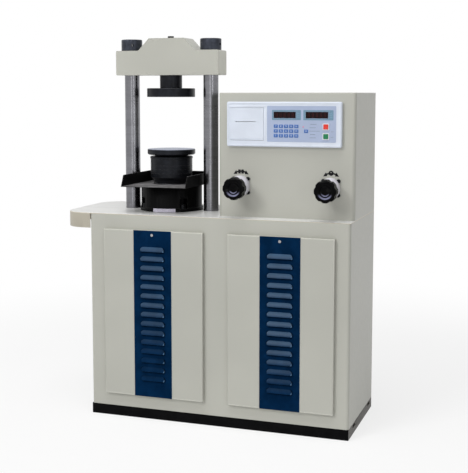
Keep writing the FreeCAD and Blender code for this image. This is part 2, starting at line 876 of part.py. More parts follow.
def cylinder_body():
    """Cylinder: barrel on the table, tail down through the beam, bolt pockets in the foot."""
    r = cylinder_d / 2
    foot_r = cylinder_foot_d / 2
    tail_r = cylinder_tail_d / 2
    bore = ram_d / 2 + ram_fit
    seat_r = gland_d / 2 + thread_clear
    foot_z = table_z + cylinder_foot_h
    bore_z = cylinder_tail_z + cylinder_end_t
    gland_z = cylinder_top_z - gland_h
    profile = [(0, cylinder_tail_z), (tail_r - bevel, cylinder_tail_z), (tail_r, cylinder_tail_z + bevel),
               (tail_r, table_z), (foot_r, table_z), (foot_r, foot_z - bevel), (foot_r - bevel, foot_z),
               (r, foot_z), (r, cylinder_top_z), (seat_r, cylinder_top_z), (seat_r, gland_z),
               (bore, gland_z), (bore, bore_z), (0, bore_z)]
    body = turned(profile, V(axis_x, axis_y, 0))
    for place in cylinder_bolt_places():
        seat = V(place.x, place.y, bolt_seat_z)
        slot = block(place.x, place.x + foot_r, place.y - bolt_pocket_r, place.y + bolt_pocket_r,
                     seat.z, seat.z + bolt_pocket_h)
        slot.rotate(seat, Z_AXIS, math.degrees(math.atan2(place.y - axis_y, place.x - axis_x)))
        body = body.cut(slot.fuse(rod(2 * bolt_pocket_r, bolt_pocket_h, seat)))
        hole_base = V(place.x, place.y, table_z - 1)
        body = body.cut(rod(cylinder_bolt_d + 2 * bolt_clear, cylinder_foot_h + 2, hole_base))
    port = rod(pipe_d + 2 * thread_clear, cylinder_end_t + 2, V(axis_x, axis_y, cylinder_tail_z - 1))
    return body.cut(port)


def cylinder_bolts():
    """Socket-head bolts that hold the cylinder's foot to the beam."""
    bolts = []
    for place in cylinder_bolt_places():
        base = place - Z_AXIS * (cylinder_bolt_l - cylinder_bolt_spare)
        seat = V(place.x, place.y, bolt_seat_z)
        bolt = rod(cylinder_bolt_d, bolt_seat_z - base.z, base)
        bolt = bolt.fuse(rod(cylinder_bolt_head_d, cylinder_bolt_head_h, seat))
        socket = hexagon(cylinder_bolt_hex, cylinder_bolt_head_h, seat + Z_AXIS * (cylinder_bolt_head_h / 2))
        bolts.append(bolt.cut(socket))
    return Part.makeCompound(bolts)


def gland_ring():
    """Gland at the cylinder's mouth, the ram's upper guide."""
    r = gland_d / 2
    z0 = cylinder_top_z - gland_h
    z1 = cylinder_top_z
    bore = ram_d / 2 + ram_fit
    profile = [(bore, z0), (r, z0), (r, z1), (bore + gland_lead, z1), (bore, z1 - gland_lead)]
    return turned(profile, V(axis_x, axis_y, 0))


def piston():
    """Ram with a seal groove near its lower end."""
    r = ram_d / 2
    z0 = ram_top_z - ram_l
    groove = r - seal_depth
    g0 = z0 + seal_inset
    g1 = g0 + seal_w
    profile = [(0, z0), (r - edge_break, z0), (r, z0 + edge_break), (r, g0), (groove, g0), (groove, g1),
               (r, g1), (r, ram_top_z - edge_break), (r - edge_break, ram_top_z), (0, ram_top_z)]
    return turned(profile, V(axis_x, axis_y, 0))


def piston_seal():
    """Lip seal that fills the ram's groove and runs on the bore."""
    r = ram_d / 2 + ram_fit / 2
    inner = ram_d / 2 - seal_depth
    z0 = ram_top_z - ram_l + seal_inset
    z1 = z0 + seal_w
    profile = [(inner, z0), (r - edge_break, z0), (r, z0 + edge_break), (r, z1 - edge_break),
               (r - edge_break, z1), (inner, z1)]
    return turned(profile, V(axis_x, axis_y, 0))


def ball_seat_block():
    """Turned block on the ram with a tapered foot, a lip, fine grooves and a ball socket on top."""
    foot_r = block_foot_d / 2
    r = block_d / 2
    lip_r = block_lip_d / 2
    flank = block_groove_flank
    inner = r - block_groove_depth
    taper_z = ram_top_z + block_taper_h
    lip_z = block_top_z - block_lip_h
    outline = [(0, ram_top_z), (foot_r, ram_top_z), (foot_r + bevel, ram_top_z + block_taper_h / 2),
               (r, taper_z)]
    for i in range(block_groove_count):
        z = taper_z + (i + 1) * block_groove_pitch
        outline += [(r, z), (inner, z + flank), (inner, z + block_groove_w - flank), (r, z + block_groove_w)]
    outline += [(r, lip_z), (lip_r, lip_z + edge_break), (lip_r, block_top_z - bevel),
                (lip_r - bevel, block_top_z), (0, block_top_z)]
    body = turned(outline, V(axis_x, axis_y, 0))
    return body.cut(Part.makeSphere(ball_r + ball_gap, V(axis_x, axis_y, platen_top_z)))


def lower_platen():
    """Lower platen with the ball of its seat, centred on the platen's own face."""
    r = platen_d / 2
    c = platen_chamfer
    z1 = platen_top_z
    z0 = z1 - lower_platen_t
    profile = [(0, z0), (r - 2 * c, z0), (r, z0 + 2 * c), (r, z1 - c), (r - c, z1), (0, z1)]
    disc = turned(profile, V(axis_x, axis_y, 0))
    ball = Part.makeSphere(ball_r, V(axis_x, axis_y, z1))
    below = block(axis_x - r, axis_x + r, axis_y - r, axis_y + r, z1 - ball_r - 1, z0 + 1)
    return disc.fuse(ball.common(below)).removeSplitter()


def debris_tray():
    """Folded tray round the ram, open at the front, with cut-back flanges."""
    z0 = cylinder_top_z
    z1 = z0 + tray_t
    top = z1 + tray_flange_h
    half = tray_w / 2
    y0 = axis_y - tray_front
    y1 = axis_y + tray_back
    tray = block(axis_x - half, axis_x + half, y0, y1, z0, z1)
    for side in (-1, 1):
        outer = axis_x + side * half
        inner = outer - side * tray_t
        points = [V(outer, y0, z1), V(outer, y1, z1), V(outer, y1, top), V(outer, y0 + tray_setback, top)]
        flange = Part.Face(Part.makePolygon(points + [points[0]])).extrude(V(inner - outer, 0, 0))
        tray = tray.fuse(flange)
    tray = tray.fuse(block(axis_x - half, axis_x + half, y1 - tray_t, y1, z1, top))
    hole = rod(ram_d + 2 * tray_hole_clear, tray_t + 2, V(axis_x, axis_y, z0 - 1))
    return tray.cut(hole).removeSplitter()


def tower_shell():
    """Tower cover on the table: front, sides and roof, with openings for printer, wiring and valves."""
    outer = block(tower_left, right, tower_front, tower_back - sheet_t, table_z, tower_top_z)
    outer = rounded(outer, Z_AXIS, tower_corner_r, lambda m: m.y < 0)
    roof = [e for e in outer.Edges
            if all(v.Point.z > tower_top_z - 1 for v in e.Vertexes)
            and e.CenterOfMass.y < tower_back - bevel - 1]
    outer = outer.makeFillet(tower_top_r, roof)
    inner = block(tower_left + sheet_t, right - sheet_t, tower_front + sheet_t, tower_back, table_z - 1,
                  tower_top_z - sheet_t)
    inner = rounded(inner, Z_AXIS, tower_corner_r - sheet_t, lambda m: m.y < 0)
    shell = outer.cut(inner)
    x0 = bezel_left + printer_from_left
    z0 = bezel_top - door_from_top - door_h
    shell = shell.cut(block(x0, x0 + printer_w, tower_front - 1, tower_front + sheet_t + 1, z0, z0 + door_h))
    wires = V(bezel_left + bezel_w / 2, tower_front - 1, bezel_z + bezel_h / 4)
    shell = shell.cut(rod(wire_hole_d, sheet_t + 2, wires, Y_AXIS))
    for x in valve_x:
        hole = rod(bonnet_spigot_d + 2 * thread_clear, sheet_t + 2, V(x, tower_front - 1, valve_z), Y_AXIS)
        shell = shell.cut(hole)
    return shell


def tower_rear_cover():
    """Plain rear cover of the tower, with one stack of ventilation slots."""
    cover = block(tower_left, right, tower_back - sheet_t, tower_back, table_z, tower_top_z)
    middle = (tower_left + right) / 2
    top = tower_top_z - vent_from_top
    for row in range(vent_slot_count):
        z = top - row * vent_slot_pitch
        cover = cover.cut(block(middle - vent_slot_w / 2, middle + vent_slot_w / 2, tower_back - sheet_t - 1,
                                tower_back + 1, z - vent_slot_h / 2, z + vent_slot_h / 2))
    return cover


def on_bezel(from_left, from_top):
    """A point on the bezel face, measured from its upper left corner."""
    return V(bezel_left + from_left, bezel_front, bezel_top - from_top)


def display_places():
    """Lower left corners of the two display windows on the bezel face."""
    return [on_bezel(display_from_left + i * display_pitch, display_from_top + display_h) for i in range(2)]


def button_places():
    """Centres of the upper and the lower push-button on the bezel face."""
    return [on_bezel(button_from_left, button_from_top + i * button_pitch) for i in range(2)]


def square_bar(centre, width, y0, y1):
    """A square bar along Y, centred on a point of the controller face."""
    half = width / 2
    return block(centre.x - half, centre.x + half, y0, y1, centre.z - half, centre.z + half)


def face_openings(depth, extra):
    """Cutters for the windows and buttons through the right part of the controller face."""
    cutters = []
    for p in display_places():
        cutters.append(block(p.x - extra, p.x + display_w + extra, bezel_front - 1, bezel_front + depth,
                             p.z - extra, p.z + display_h + extra))
    for p in button_places():
        hole = square_bar(p, button_w + 2 * button_fit, bezel_front - 1, bezel_front + depth)
        cutters.append(rounded(hole, Y_AXIS, button_corner_r + button_fit))
    return cutters


def controller_bezel():
    """Moulded controller frame: a shallow shell with a printer window and an overlay recess."""
    x1 = bezel_left + bezel_w
    outer = block(bezel_left, x1, bezel_front, tower_front, bezel_z, bezel_top)
    outer = rounded(outer, Y_AXIS, bezel_corner_r)
    rim = [e for e in outer.Edges if all(abs(v.Point.y - bezel_front) < 0.01 for v in e.Vertexes)]
    outer = outer.makeFillet(bezel_edge_r, rim)
    inner = block(bezel_left + bezel_t, x1 - bezel_t, bezel_front + bezel_t, tower_front + 1,
                  bezel_z + bezel_t, bezel_top - bezel_t)
    shell = outer.cut(rounded(inner, Y_AXIS, bezel_corner_r - bezel_t))
    window = on_bezel(printer_from_left, door_from_top + door_h + hinge_strip_h)
    shell = shell.cut(block(window.x, window.x + printer_w, bezel_front - 1, bezel_front + bezel_t + 1,
                            window.z, window.z + door_h + hinge_strip_h + door_gap))
    recess = on_bezel(overlay_from_left, overlay_from_top + overlay_h)
    pocket = block(recess.x, recess.x + overlay_w, bezel_front - 1, bezel_front + overlay_sink,
                   recess.z, recess.z + overlay_h)
    shell = shell.cut(rounded(pocket, Y_AXIS, overlay_corner_r))
    for cutter in face_openings(bezel_t + 1, display_fit):
        shell = shell.cut(cutter)
    pin = hinge_axis()
    reach = hinge_pin_l + hinge_pin_end_gap
    for x in (window.x - reach, window.x + printer_w):
        shell = shell.cut(rod(2 * (hinge_pin_r + hinge_pin_fit), reach, V(x, pin.y, pin.z), X_AXIS))
    for x, z in board_posts():
        post = rod(board_post_d, board_gap, V(x, bezel_front + bezel_t, z), Y_AXIS)
        shell = shell.fuse(post)
    return shell.removeSplitter()


def board_posts():
    """Posts behind the bezel face that carry the controller board."""
    centre = on_bezel(overlay_from_left + overlay_w / 2, overlay_from_top + overlay_h / 2)
    half_x = board_w / 2 - board_post_inset
    half_z = board_h / 2 - board_post_inset
    return [(centre.x + sx * half_x, centre.z + sz * half_z) for sx in (-1, 1) for sz in (-1, 1)]


def keypad_overlay():
    """Membrane keypad overlay with embossed keys, cut out round the windows and buttons."""
    p = on_bezel(overlay_from_left, overlay_from_top + overlay_h)
    y1 = bezel_front + overlay_sink
    y0 = y1 - overlay_t
    clear = overlay_clear
    sheet = block(p.x + clear, p.x + overlay_w - clear, y0, y1, p.z + clear, p.z + overlay_h - clear)
    sheet = rounded(sheet, Y_AXIS, overlay_corner_r - clear)
    places = [(key_from_left + c * key_pitch_x, key_from_top + r * key_pitch_z)
              for c in range(key_columns) for r in range(key_rows)]
    places.append((spare_key_from_left, key_from_top + key_pitch_z))
    for from_left, from_top in places:
        key = on_bezel(from_left, from_top)
        pad = block(key.x - key_w / 2, key.x + key_w / 2, y0 - key_rise, y0 + overlay_t / 2,
                    key.z - key_h / 2, key.z + key_h / 2)
        sheet = sheet.fuse(pad)
    for cutter in face_openings(bezel_t, display_fit):
        sheet = sheet.cut(cutter)
    return sheet.removeSplitter()


def display_windows():
    """The two display windows, seated in the bezel behind the overlay's face."""
    y0 = bezel_front + overlay_sink - overlay_t + lens_sink
    lenses = [block(p.x, p.x + display_w, y0, y0 + display_t, p.z, p.z + display_h) for p in display_places()]
    return Part.makeCompound(lenses)


def push_button(place):
    """Square push-button with a retaining lip behind the bezel and a short stem."""
    top = bezel_front - overlay_t + overlay_sink - button_proud
    lip = bezel_front + bezel_t + button_lip_gap
    stem_end = bezel_front + bezel_t + board_gap - switch_rise - switch_gap - button_travel
    cap = rounded(square_bar(place, button_w, top, lip + button_lip_t), Y_AXIS, button_corner_r)
    rim = [e for e in cap.Edges if all(v.Point.y < top + 0.01 for v in e.Vertexes)]
    cap = cap.makeFillet(edge_break, rim)
    flange = square_bar(place, button_lip_w, lip, lip + button_lip_t)
    stem = rod(button_stem_d, stem_end - lip, V(place.x, lip, place.z), Y_AXIS)
    return cap.fuse(flange).fuse(stem).removeSplitter()


def controller_board():
    """Circuit board on the bezel's posts, with the two switch bodies behind the buttons."""
    centre = on_bezel(overlay_from_left + overlay_w / 2, overlay_from_top + overlay_h / 2)
    y0 = bezel_front + bezel_t + board_gap
    board = block(centre.x - board_w / 2, centre.x + board_w / 2, y0, y0 + board_t,
                  centre.z - board_h / 2, centre.z + board_h / 2)
    for p in button_places():
        board = board.fuse(square_bar(p, switch_w, y0 - switch_rise, y0 + board_t))
    return board.removeSplitter()


def hinge_axis():
    """Pivot of the printer door, low in its window and inside the bezel's face thickness."""
    p = on_bezel(printer_from_left + printer_w / 2, door_from_top + door_h + hinge_strip_h / 2)
    return V(p.x, bezel_front + bezel_t / 2, p.z)


def printer_door():
    """Printer flap with a paper slot, a hinge barrel along its foot and two stub pins."""
    x0 = bezel_left + printer_from_left + door_gap
    x1 = x0 + printer_w - 2 * door_gap
    y0 = bezel_front - door_proud
    z1 = bezel_top - door_from_top
    z0 = z1 - door_h
    flap = block(x0, x1, y0, y0 + door_t, z0, z1)
    flap = rounded(flap, Y_AXIS, door_corner_r, lambda m: m.z > z0 + 1)
    pin = hinge_axis()
    web = block(x0, x1, pin.y - hinge_r / 2, pin.y + hinge_r / 2 - hinge_web_relief, pin.z, z0 + 1)
    barrel = rod(2 * hinge_r, x1 - x0, V(x0, pin.y, pin.z), X_AXIS)
    pins = rod(2 * hinge_pin_r, x1 - x0 + 2 * hinge_pin_l, V(x0 - hinge_pin_l, pin.y, pin.z), X_AXIS)
    slot_x = bezel_left + printer_from_left + slot_from_left
    slot_z = z1 - slot_from_top
    slot = block(slot_x - slot_l / 2, slot_x + slot_l / 2, y0 - 1, y0 + door_t + 1,
                 slot_z - slot_h / 2, slot_z + slot_h / 2)
    return flap.fuse(web).fuse(barrel).fuse(pins).cut(slot).removeSplitter()


def roll_centre():
    """Axis of the paper roll, behind the flap's slot."""
    p = on_bezel(printer_from_left + slot_from_left, door_from_top + door_h / 2)
    return V(p.x, bezel_front + bezel_t + printer_depth / 2, p.z - roll_drop)


def printer_module():
    """Printer housing behind the flap: an open box with an axle for the roll and a tear bar."""
    x0 = bezel_left + printer_from_left
    x1 = x0 + printer_w
    z1 = bezel_top - door_from_top
    z0 = z1 - door_h
    y0 = bezel_front + bezel_t + printer_gap
    y1 = y0 + printer_depth
    fit = printer_fit
    wall = printer_wall
    body = block(x0 + fit, x1 - fit, y0, y1, z0 + fit, z1 - fit)
    body = body.cut(block(x0 + wall, x1 - wall, y0 - 1, y1 - wall, z0 + wall, z1 - wall))
    inside_l = printer_w - 2 * wall + 2 * let_in
    start_x = x0 + wall - let_in
    centre = roll_centre()
    axle = rod(roll_core_d - 2 * roll_fit, inside_l, V(start_x, centre.y, centre.z), X_AXIS)
    bar = rod(tear_bar_d, inside_l, V(start_x, y0 + tear_bar_d, z1 - wall - 2 * tear_bar_d), X_AXIS)
    return body.fuse(axle).fuse(bar).removeSplitter()


def paper_roll():
    """Paper roll, free to turn on the printer's axle."""
    centre = roll_centre()
    start = V(centre.x - roll_w / 2, centre.y, centre.z)
    return rod(roll_d, roll_w, start, X_AXIS).cut(rod(roll_core_d, roll_w, start, X_AXIS))


def valve_block(x):
    """Steel valve block behind the tower front, drilled for spindle, bonnet and pipes."""
    y0 = tower_front + sheet_t
    half = valve_block_w / 2
    z0 = valve_z - valve_block_h / 2
    body = block(x - half, x + half, y0, y0 + valve_block_d, z0, z0 + valve_block_h)
    body = rounded(body, Y_AXIS, valve_block_edge_r)
    spigot = rod(bonnet_spigot_d + 2 * thread_clear, bonnet_spigot_l, V(x, tower_front, valve_z), Y_AXIS)
    bore = rod(spindle_d + 2 * spindle_fit, spindle_depth, V(x, y0, valve_z), Y_AXIS)
    return body.cut(spigot).cut(bore)


def bonnet(x):
    """Bright bonnet in front of the tower, the spindle's guide."""
    spigot = bonnet_spigot_l
    nose_r = bonnet_nose_d / 2
    r = bonnet_d / 2
    bore = spindle_d / 2 + spindle_fit
    body_l = bonnet_l - bonnet_nose_l
    profile = [(bore, -spigot), (bonnet_spigot_d / 2, -spigot), (bonnet_spigot_d / 2, 0), (r - edge_break, 0),
               (r, edge_break), (r, body_l - bonnet_slope), (r - bonnet_slope, body_l), (nose_r, body_l),
               (nose_r, bonnet_l - bevel), (nose_r - bevel, bonnet_l), (bore, bonnet_l)]
    return turned(profile, V(x, tower_front, valve_z), V(0, -1, 0))


def wheel_back():
    """How far in front of the tower the back of a handwheel's hub lies."""
    return bonnet_l + wheel_gap


def spindle(x):
    """Valve spindle from the block out to the handwheel, with a blunt needle at its inner end."""
    r = spindle_d / 2
    tip = tower_front - wheel_back() - wheel_bore_l
    length = tower_front + sheet_t + spindle_depth - spindle_end_gap - tip
    profile = [(0, 0), (r, 0), (r, length - needle_l), (needle_r, length), (0, length)]
    return turned(profile, V(x, tip, valve_z), Y_AXIS)


def quarter_round(centre_r, centre_h, radius, start):
    """Points of a quarter round in a turned profile, from a start angle in degrees."""
    angles = [math.radians(start + step) for step in (0, 30, 60, 90)]
    return [(centre_r + radius * math.cos(a), centre_h + radius * math.sin(a)) for a in angles]


def handwheel(x):
    """Lobed handwheel: dished face with a raised ring, scalloped rim and a hub behind."""
    r = wheel_d / 2
    bore = spindle_d / 2
    face = wheel_t
    dish = face - wheel_dish_depth
    rim = r - wheel_rim_r
    profile = [(0, wheel_bore_l), (bore, wheel_bore_l), (bore, 0), (wheel_hub_r, 0),
               (wheel_hub_r, wheel_hub_l)]
    profile += quarter_round(rim, wheel_hub_l + wheel_rim_r, wheel_rim_r, -90)
    profile += quarter_round(rim, face - wheel_rim_r, wheel_rim_r, 0)
    profile += [(wheel_dish_r + edge_break, face), (wheel_dish_r, face - edge_break),
                (wheel_ring_r + wheel_ring_w / 2, dish), (wheel_ring_r, dish + wheel_ring_h),
                (wheel_ring_r - wheel_ring_w / 2, dish), (wheel_boss_r, dish + wheel_boss_h),
                (0, dish + wheel_boss_h)]
    wheel = turned(profile, V(0, 0, 0))
    scallop_centre = r - wheel_scallop_depth + wheel_scallop_r
    for i in range(wheel_lobes):
        angle = 2 * math.pi * (i + 0.5) / wheel_lobes
        place = V(scallop_centre * math.cos(angle), scallop_centre * math.sin(angle), -1)
        wheel = wheel.cut(rod(2 * wheel_scallop_r, wheel_t + 2, place))
    wheel.Placement = FreeCAD.Placement(V(x, tower_front - wheel_back(), valve_z),
                                        FreeCAD.Rotation(Z_AXIS, V(0, -1, 0)))
    return wheel


def pressure_sensor():
    """Pressure sensor screwed into the top of the delivery valve block."""
    base = V(valve_x[0], valve_port_y, valve_z + valve_block_h / 2)
    nut = hexagon(sensor_d, sensor_hex_h, base)
    return nut.fuse(rod(sensor_neck_d, sensor_l - sensor_hex_h, base + Z_AXIS * sensor_hex_h))


def oil_tank():
    """Welded tank with round corners, open under its lid."""
    outer = block(tank_left, tank_left + tank_w, tank_front, tank_front + tank_d, floor_top, tank_top)
    outer = rounded(outer, Z_AXIS, tank_corner_r)
    inner = block(tank_left + tank_t, tank_left + tank_w - tank_t, tank_front + tank_t,
                  tank_front + tank_d - tank_t, floor_top + tank_t, tank_top + 1)
    return outer.cut(rounded(inner, Z_AXIS, tank_corner_r - tank_t))


def tank_pipe_places():
    """Where the suction and the return pipe pass through the lid."""
    return [V(left + pump_from_left + pump_w / 2 + suction_offset, drive_y, lid_top),
            V(valve_x[1], valve_port_y, lid_top)]


def tank_lid():
    """Lid plate that carries motor and pump, holed for pipes and filler."""
    lid = block(tank_left - lid_lip, tank_left + tank_w + lid_lip, tank_front - lid_lip,
                tank_front + tank_d + lid_lip, tank_top, lid_top)
    lid = rounded(lid, Z_AXIS, tank_corner_r + lid_lip)
    for p in tank_pipe_places():
        lid = lid.cut(rod(pipe_d + 2 * thread_clear, lid_t + 2, V(p.x, p.y, tank_top - 1)))
    return lid.cut(rod(cap_neck_d, lid_t + 2, V(left + cap_from_left, front + cap_from_front, tank_top - 1)))


def filler_cap():
    """Filler and breather cap with its neck through the lid."""
    neck = cap_neck_d / 2 - thread_clear
    r = cap_d / 2
    profile = [(0, -lid_t), (neck, -lid_t), (neck, cap_neck_h), (r - edge_break, cap_neck_h),
               (r, cap_neck_h + edge_break), (r, cap_h - cap_slope), (r - cap_slope, cap_h), (0, cap_h)]
    return turned(profile, V(left + cap_from_left, front + cap_from_front, lid_top))


def motor_body(x0, r, core_r):
    """Turned motor body along X: end shield, core and fan cowl."""
    cowl_x = motor_l - fan_cowl_l
    cowl_r = r + fan_cowl_step
    profile = [(0, 0), (core_r - motor_shield_step, 0), (core_r, bevel), (r, 2 * bevel), (r, motor_shield_l),
               (core_r, motor_shield_l), (core_r, cowl_x), (cowl_r, cowl_x),
               (cowl_r, motor_l - fan_cowl_slope), (cowl_r - fan_cowl_slope, motor_l), (0, motor_l)]
    return turned(profile, V(x0, drive_y, drive_z), X_AXIS)


def pump_motor():
    """Finned motor on two feet, with end shield, fan cowl and terminal box."""
    x0 = left + motor_from_left
    r = motor_d / 2
    core_r = r - motor_fin_h
    shield_x = x0 + motor_shield_l
    cowl_x = x0 + motor_l - fan_cowl_l
    fins = []
    for i in range(motor_fin_count):
        fin = block(shield_x - let_in, cowl_x + let_in, drive_y - motor_fin_t / 2, drive_y + motor_fin_t / 2,
                    drive_z + core_r - bevel, drive_z + r)
        fin.rotate(V(x0, drive_y, drive_z), X_AXIS, 360 / motor_fin_count * i)
        fins.append(fin)
    body = motor_body(x0, r, core_r).fuse(fins)
    foot_half = motor_foot_w / 2
    web_half = motor_web_w / 2
    for x in (shield_x + motor_foot_inset, cowl_x - motor_foot_inset - motor_foot_l):
        x1 = x + motor_foot_l
        body = body.fuse(block(x, x1, drive_y - foot_half, drive_y + foot_half,
                               lid_top, lid_top + motor_foot_h))
        body = body.fuse(block(x, x1, drive_y - web_half, drive_y + web_half, lid_top, drive_z))
    box_x = shield_x + terminal_inset
    body = body.fuse(block(box_x, box_x + terminal_w, drive_y - terminal_d / 2, drive_y + terminal_d / 2,
                           drive_z, drive_z + r + terminal_rise))
    bore = rod(shaft_d + 2 * shaft_fit, shaft_grip + 1, V(x0 - 1, drive_y, drive_z), X_AXIS)
    return body.cut(bore).removeSplitter()


def drive_shaft():
    """Shaft line from motor to pump with its flexible coupling."""
    x0 = left + pump_from_left + pump_w - shaft_grip + shaft_end_gap
    x1 = left + motor_from_left + shaft_grip - shaft_end_gap
    middle = left + (pump_from_left + pump_w + motor_from_left) / 2 - x0
    c0 = middle - coupling_l / 2
    c1 = middle + coupling_l / 2
    r = shaft_d / 2
    hub = coupling_d / 2
    floor_r = hub - coupling_groove_depth
    half = coupling_groove_w / 2
    profile = [(0, 0), (r, 0), (r, c0), (hub, c0), (hub, middle - half), (floor_r, middle - half),
               (floor_r, middle + half), (hub, middle + half), (hub, c1), (r, c1), (r, x1 - x0), (0, x1 - x0)]
    return turned(profile, V(x0, drive_y, drive_z), X_AXIS)


def oil_pump():
    """High-pressure pump block on the tank lid."""
    x0 = left + pump_from_left
    x1 = x0 + pump_w
    body = block(x0, x1, drive_y - pump_d / 2, drive_y + pump_d / 2, lid_top, lid_top + pump_h)
    body = rounded(body, Z_AXIS, pump_edge_r)
    bore = rod(shaft_d + 2 * shaft_fit, shaft_grip + 1, V(x1 - shaft_grip, drive_y, drive_z), X_AXIS)
    return body.cut(bore)


def pressure_pipes():
    """Pump to delivery valve, and delivery valve to cylinder."""
    block_bottom = valve_z - valve_block_h / 2
    pump_port = V(left + pump_from_left + pressure_port_x, drive_y, lid_top + pump_h)
    feed = [pump_port, V(pump_port.x, drive_y, feed_run_z), V(valve_x[0], valve_port_y, feed_run_z),
            V(valve_x[0], valve_port_y, block_bottom)]
    x = valve_x[0] + feed_port_dx
    y = valve_port_y + feed_port_dy
    run_y = front + cylinder_run_from_front
    delivery = [V(x, y, block_bottom), V(x, y, cylinder_run_z), V(x, run_y, cylinder_run_z),
                V(axis_x, run_y, cylinder_run_z), V(axis_x, axis_y, cylinder_run_z),
                V(axis_x, axis_y, cylinder_tail_z + cylinder_port_depth)]
    return Part.makeCompound([tube(feed, pipe_d, feed_bend_r), tube(delivery, pipe_d, delivery_bend_r)])


def low_pressure_pipes():
    """Suction and return pipes in the tank, and the link between the valve blocks."""
    suction, returned = tank_pipe_places()
    half = valve_block_w / 2
    dip = V(0, 0, tank_dip)
    outlet = V(returned.x, returned.y, valve_z - valve_block_h / 2)
    link = [V(valve_x[0] + half, valve_port_y, valve_z), V(valve_x[1] - half, valve_port_y, valve_z)]
    return Part.makeCompound([tube([suction, suction - dip], pipe_d), tube([outlet, returned - dip], pipe_d),
                              tube(link, pipe_d)])


def build():
    """Every piece by its name."""
    left_panel_x, right_panel_x = panel_lefts()
    left_column_x, right_column_x = column_places()
    upper_button, lower_button = button_places()
    return {
        "base_cross_rails": cross_rails(),
        "base_side_rails": side_rails(),
        "cabinet_floor": cabinet_floor(),
        "cabinet_front": cabinet_front(),
        "cabinet_left_side": cabinet_side(left + sheet_t, left),
        "cabinet_right_side": cabinet_side(right - sheet_t, right),
        "cabinet_rear_cover": cabinet_rear_cover(),
        "table_top": table_top(),
        "left_panel": panel(left_panel_x),
        "left_louvre_strip": louvre_strip(left_panel_x),
        "left_panel_lock": panel_lock(left_panel_x),
        "right_panel": panel(right_panel_x),
        "right_louvre_strip": louvre_strip(right_panel_x),
        "right_panel_lock": panel_lock(right_panel_x),
        "load_beam": load_beam(),
        "beam_pedestals": beam_pedestals(),
        "left_column": column(left_column_x),
        "right_column": column(right_column_x),
        "column_nuts": column_nuts(),
        "column_foot_nuts": column_foot_nuts(),
        "crosshead": crosshead(),
        "crosshead_bolt": crosshead_bolt(),
        "upper_spindle": upper_spindle(),
        "upper_platen": upper_platen(),
        "cylinder_body": cylinder_body(),
        "cylinder_bolts": cylinder_bolts(),
        "gland_ring": gland_ring(),
        "piston": piston(),
        "piston_seal": piston_seal(),
        "ball_seat_block": ball_seat_block(),
        "lower_platen": lower_platen(),
        "debris_tray": debris_tray(),
        "tower_shell": tower_shell(),
        "tower_rear_cover": tower_rear_cover(),
        "controller_bezel": controller_bezel(),
        "keypad_overlay": keypad_overlay(),
        "display_windows": display_windows(),
        "red_button": push_button(upper_button),
        "green_button": push_button(lower_button),
        "controller_board": controller_board(),
        "printer_module": printer_module(),
        "printer_door": printer_door(),
        "paper_roll": paper_roll(),
        "delivery_valve_block": valve_block(valve_x[0]),
        "return_valve_block": valve_block(valve_x[1]),
        "valve_bonnets": Part.makeCompound([bonnet(x) for x in valve_x]),
        "delivery_spindle": spindle(valve_x[0]),
        "return_spindle": spindle(valve_x[1]),
        "delivery_handwheel": handwheel(valve_x[0]),
        "return_handwheel": handwheel(valve_x[1]),
        "pressure_sensor": pressure_sensor(),
        "oil_tank": oil_tank(),
        "tank_lid": tank_lid(),
        "filler_cap": filler_cap(),
        "pump_motor": pump_motor(),
        "drive_shaft": drive_shaft(),
        "oil_pump": oil_pump(),
        "pressure_pipes": pressure_pipes(),
        "low_pressure_pipes": low_pressure_pipes(),
    }


os.makedirs("parts", exist_ok=True)
for node, shape in build().items():
    shape.exportStep("parts/" + node + ".step")
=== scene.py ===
"""Looks for a compression testing machine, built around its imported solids. Metres, +Z up."""
import math

import bmesh
import bpy
from mathutils import Matrix, Vector


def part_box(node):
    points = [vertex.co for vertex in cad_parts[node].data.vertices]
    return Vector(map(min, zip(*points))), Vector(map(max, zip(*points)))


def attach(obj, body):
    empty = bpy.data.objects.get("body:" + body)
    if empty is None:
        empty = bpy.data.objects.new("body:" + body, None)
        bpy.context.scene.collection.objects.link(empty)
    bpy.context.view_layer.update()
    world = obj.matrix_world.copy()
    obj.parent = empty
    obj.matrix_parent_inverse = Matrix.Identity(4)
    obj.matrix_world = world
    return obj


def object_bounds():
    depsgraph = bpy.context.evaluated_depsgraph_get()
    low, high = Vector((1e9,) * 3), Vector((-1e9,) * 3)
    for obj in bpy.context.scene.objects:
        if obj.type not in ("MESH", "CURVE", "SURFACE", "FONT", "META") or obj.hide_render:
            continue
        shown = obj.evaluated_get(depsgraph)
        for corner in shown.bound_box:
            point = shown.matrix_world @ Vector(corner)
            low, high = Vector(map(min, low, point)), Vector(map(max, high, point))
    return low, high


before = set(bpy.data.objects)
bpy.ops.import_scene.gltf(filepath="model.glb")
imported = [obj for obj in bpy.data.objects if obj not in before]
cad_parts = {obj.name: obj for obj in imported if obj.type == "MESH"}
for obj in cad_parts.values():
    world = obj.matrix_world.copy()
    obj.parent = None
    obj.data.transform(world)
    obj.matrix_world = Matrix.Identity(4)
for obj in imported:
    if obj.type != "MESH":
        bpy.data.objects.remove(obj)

bl_info = {
    "name": "Compression tester looks",
    "version": (1, 0, 0),
    "blender": (4, 5, 0),
    "location": "3D Viewport > Sidebar > Tester",
    "description": "Finishes, printed marks, small fasteners and studio for a compression testing machine",
    "category": "Object",
}

CAD_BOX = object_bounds()
MM = 0.001


def colour_property(name, default, description):
    return bpy.props.FloatVectorProperty(name=name, description=description, subtype="COLOR", size=3,
                                         default=default, min=0.0, max=1.0)


def length_property(name, default, description):
    return bpy.props.FloatProperty(name=name, description=description, default=default, min=0.0,
                                   subtype="DISTANCE", unit="LENGTH")


def power_property(name, default, description):
    return bpy.props.FloatProperty(name=name, description=description, default=default, min=0.0,
                                   subtype="POWER", unit="POWER")


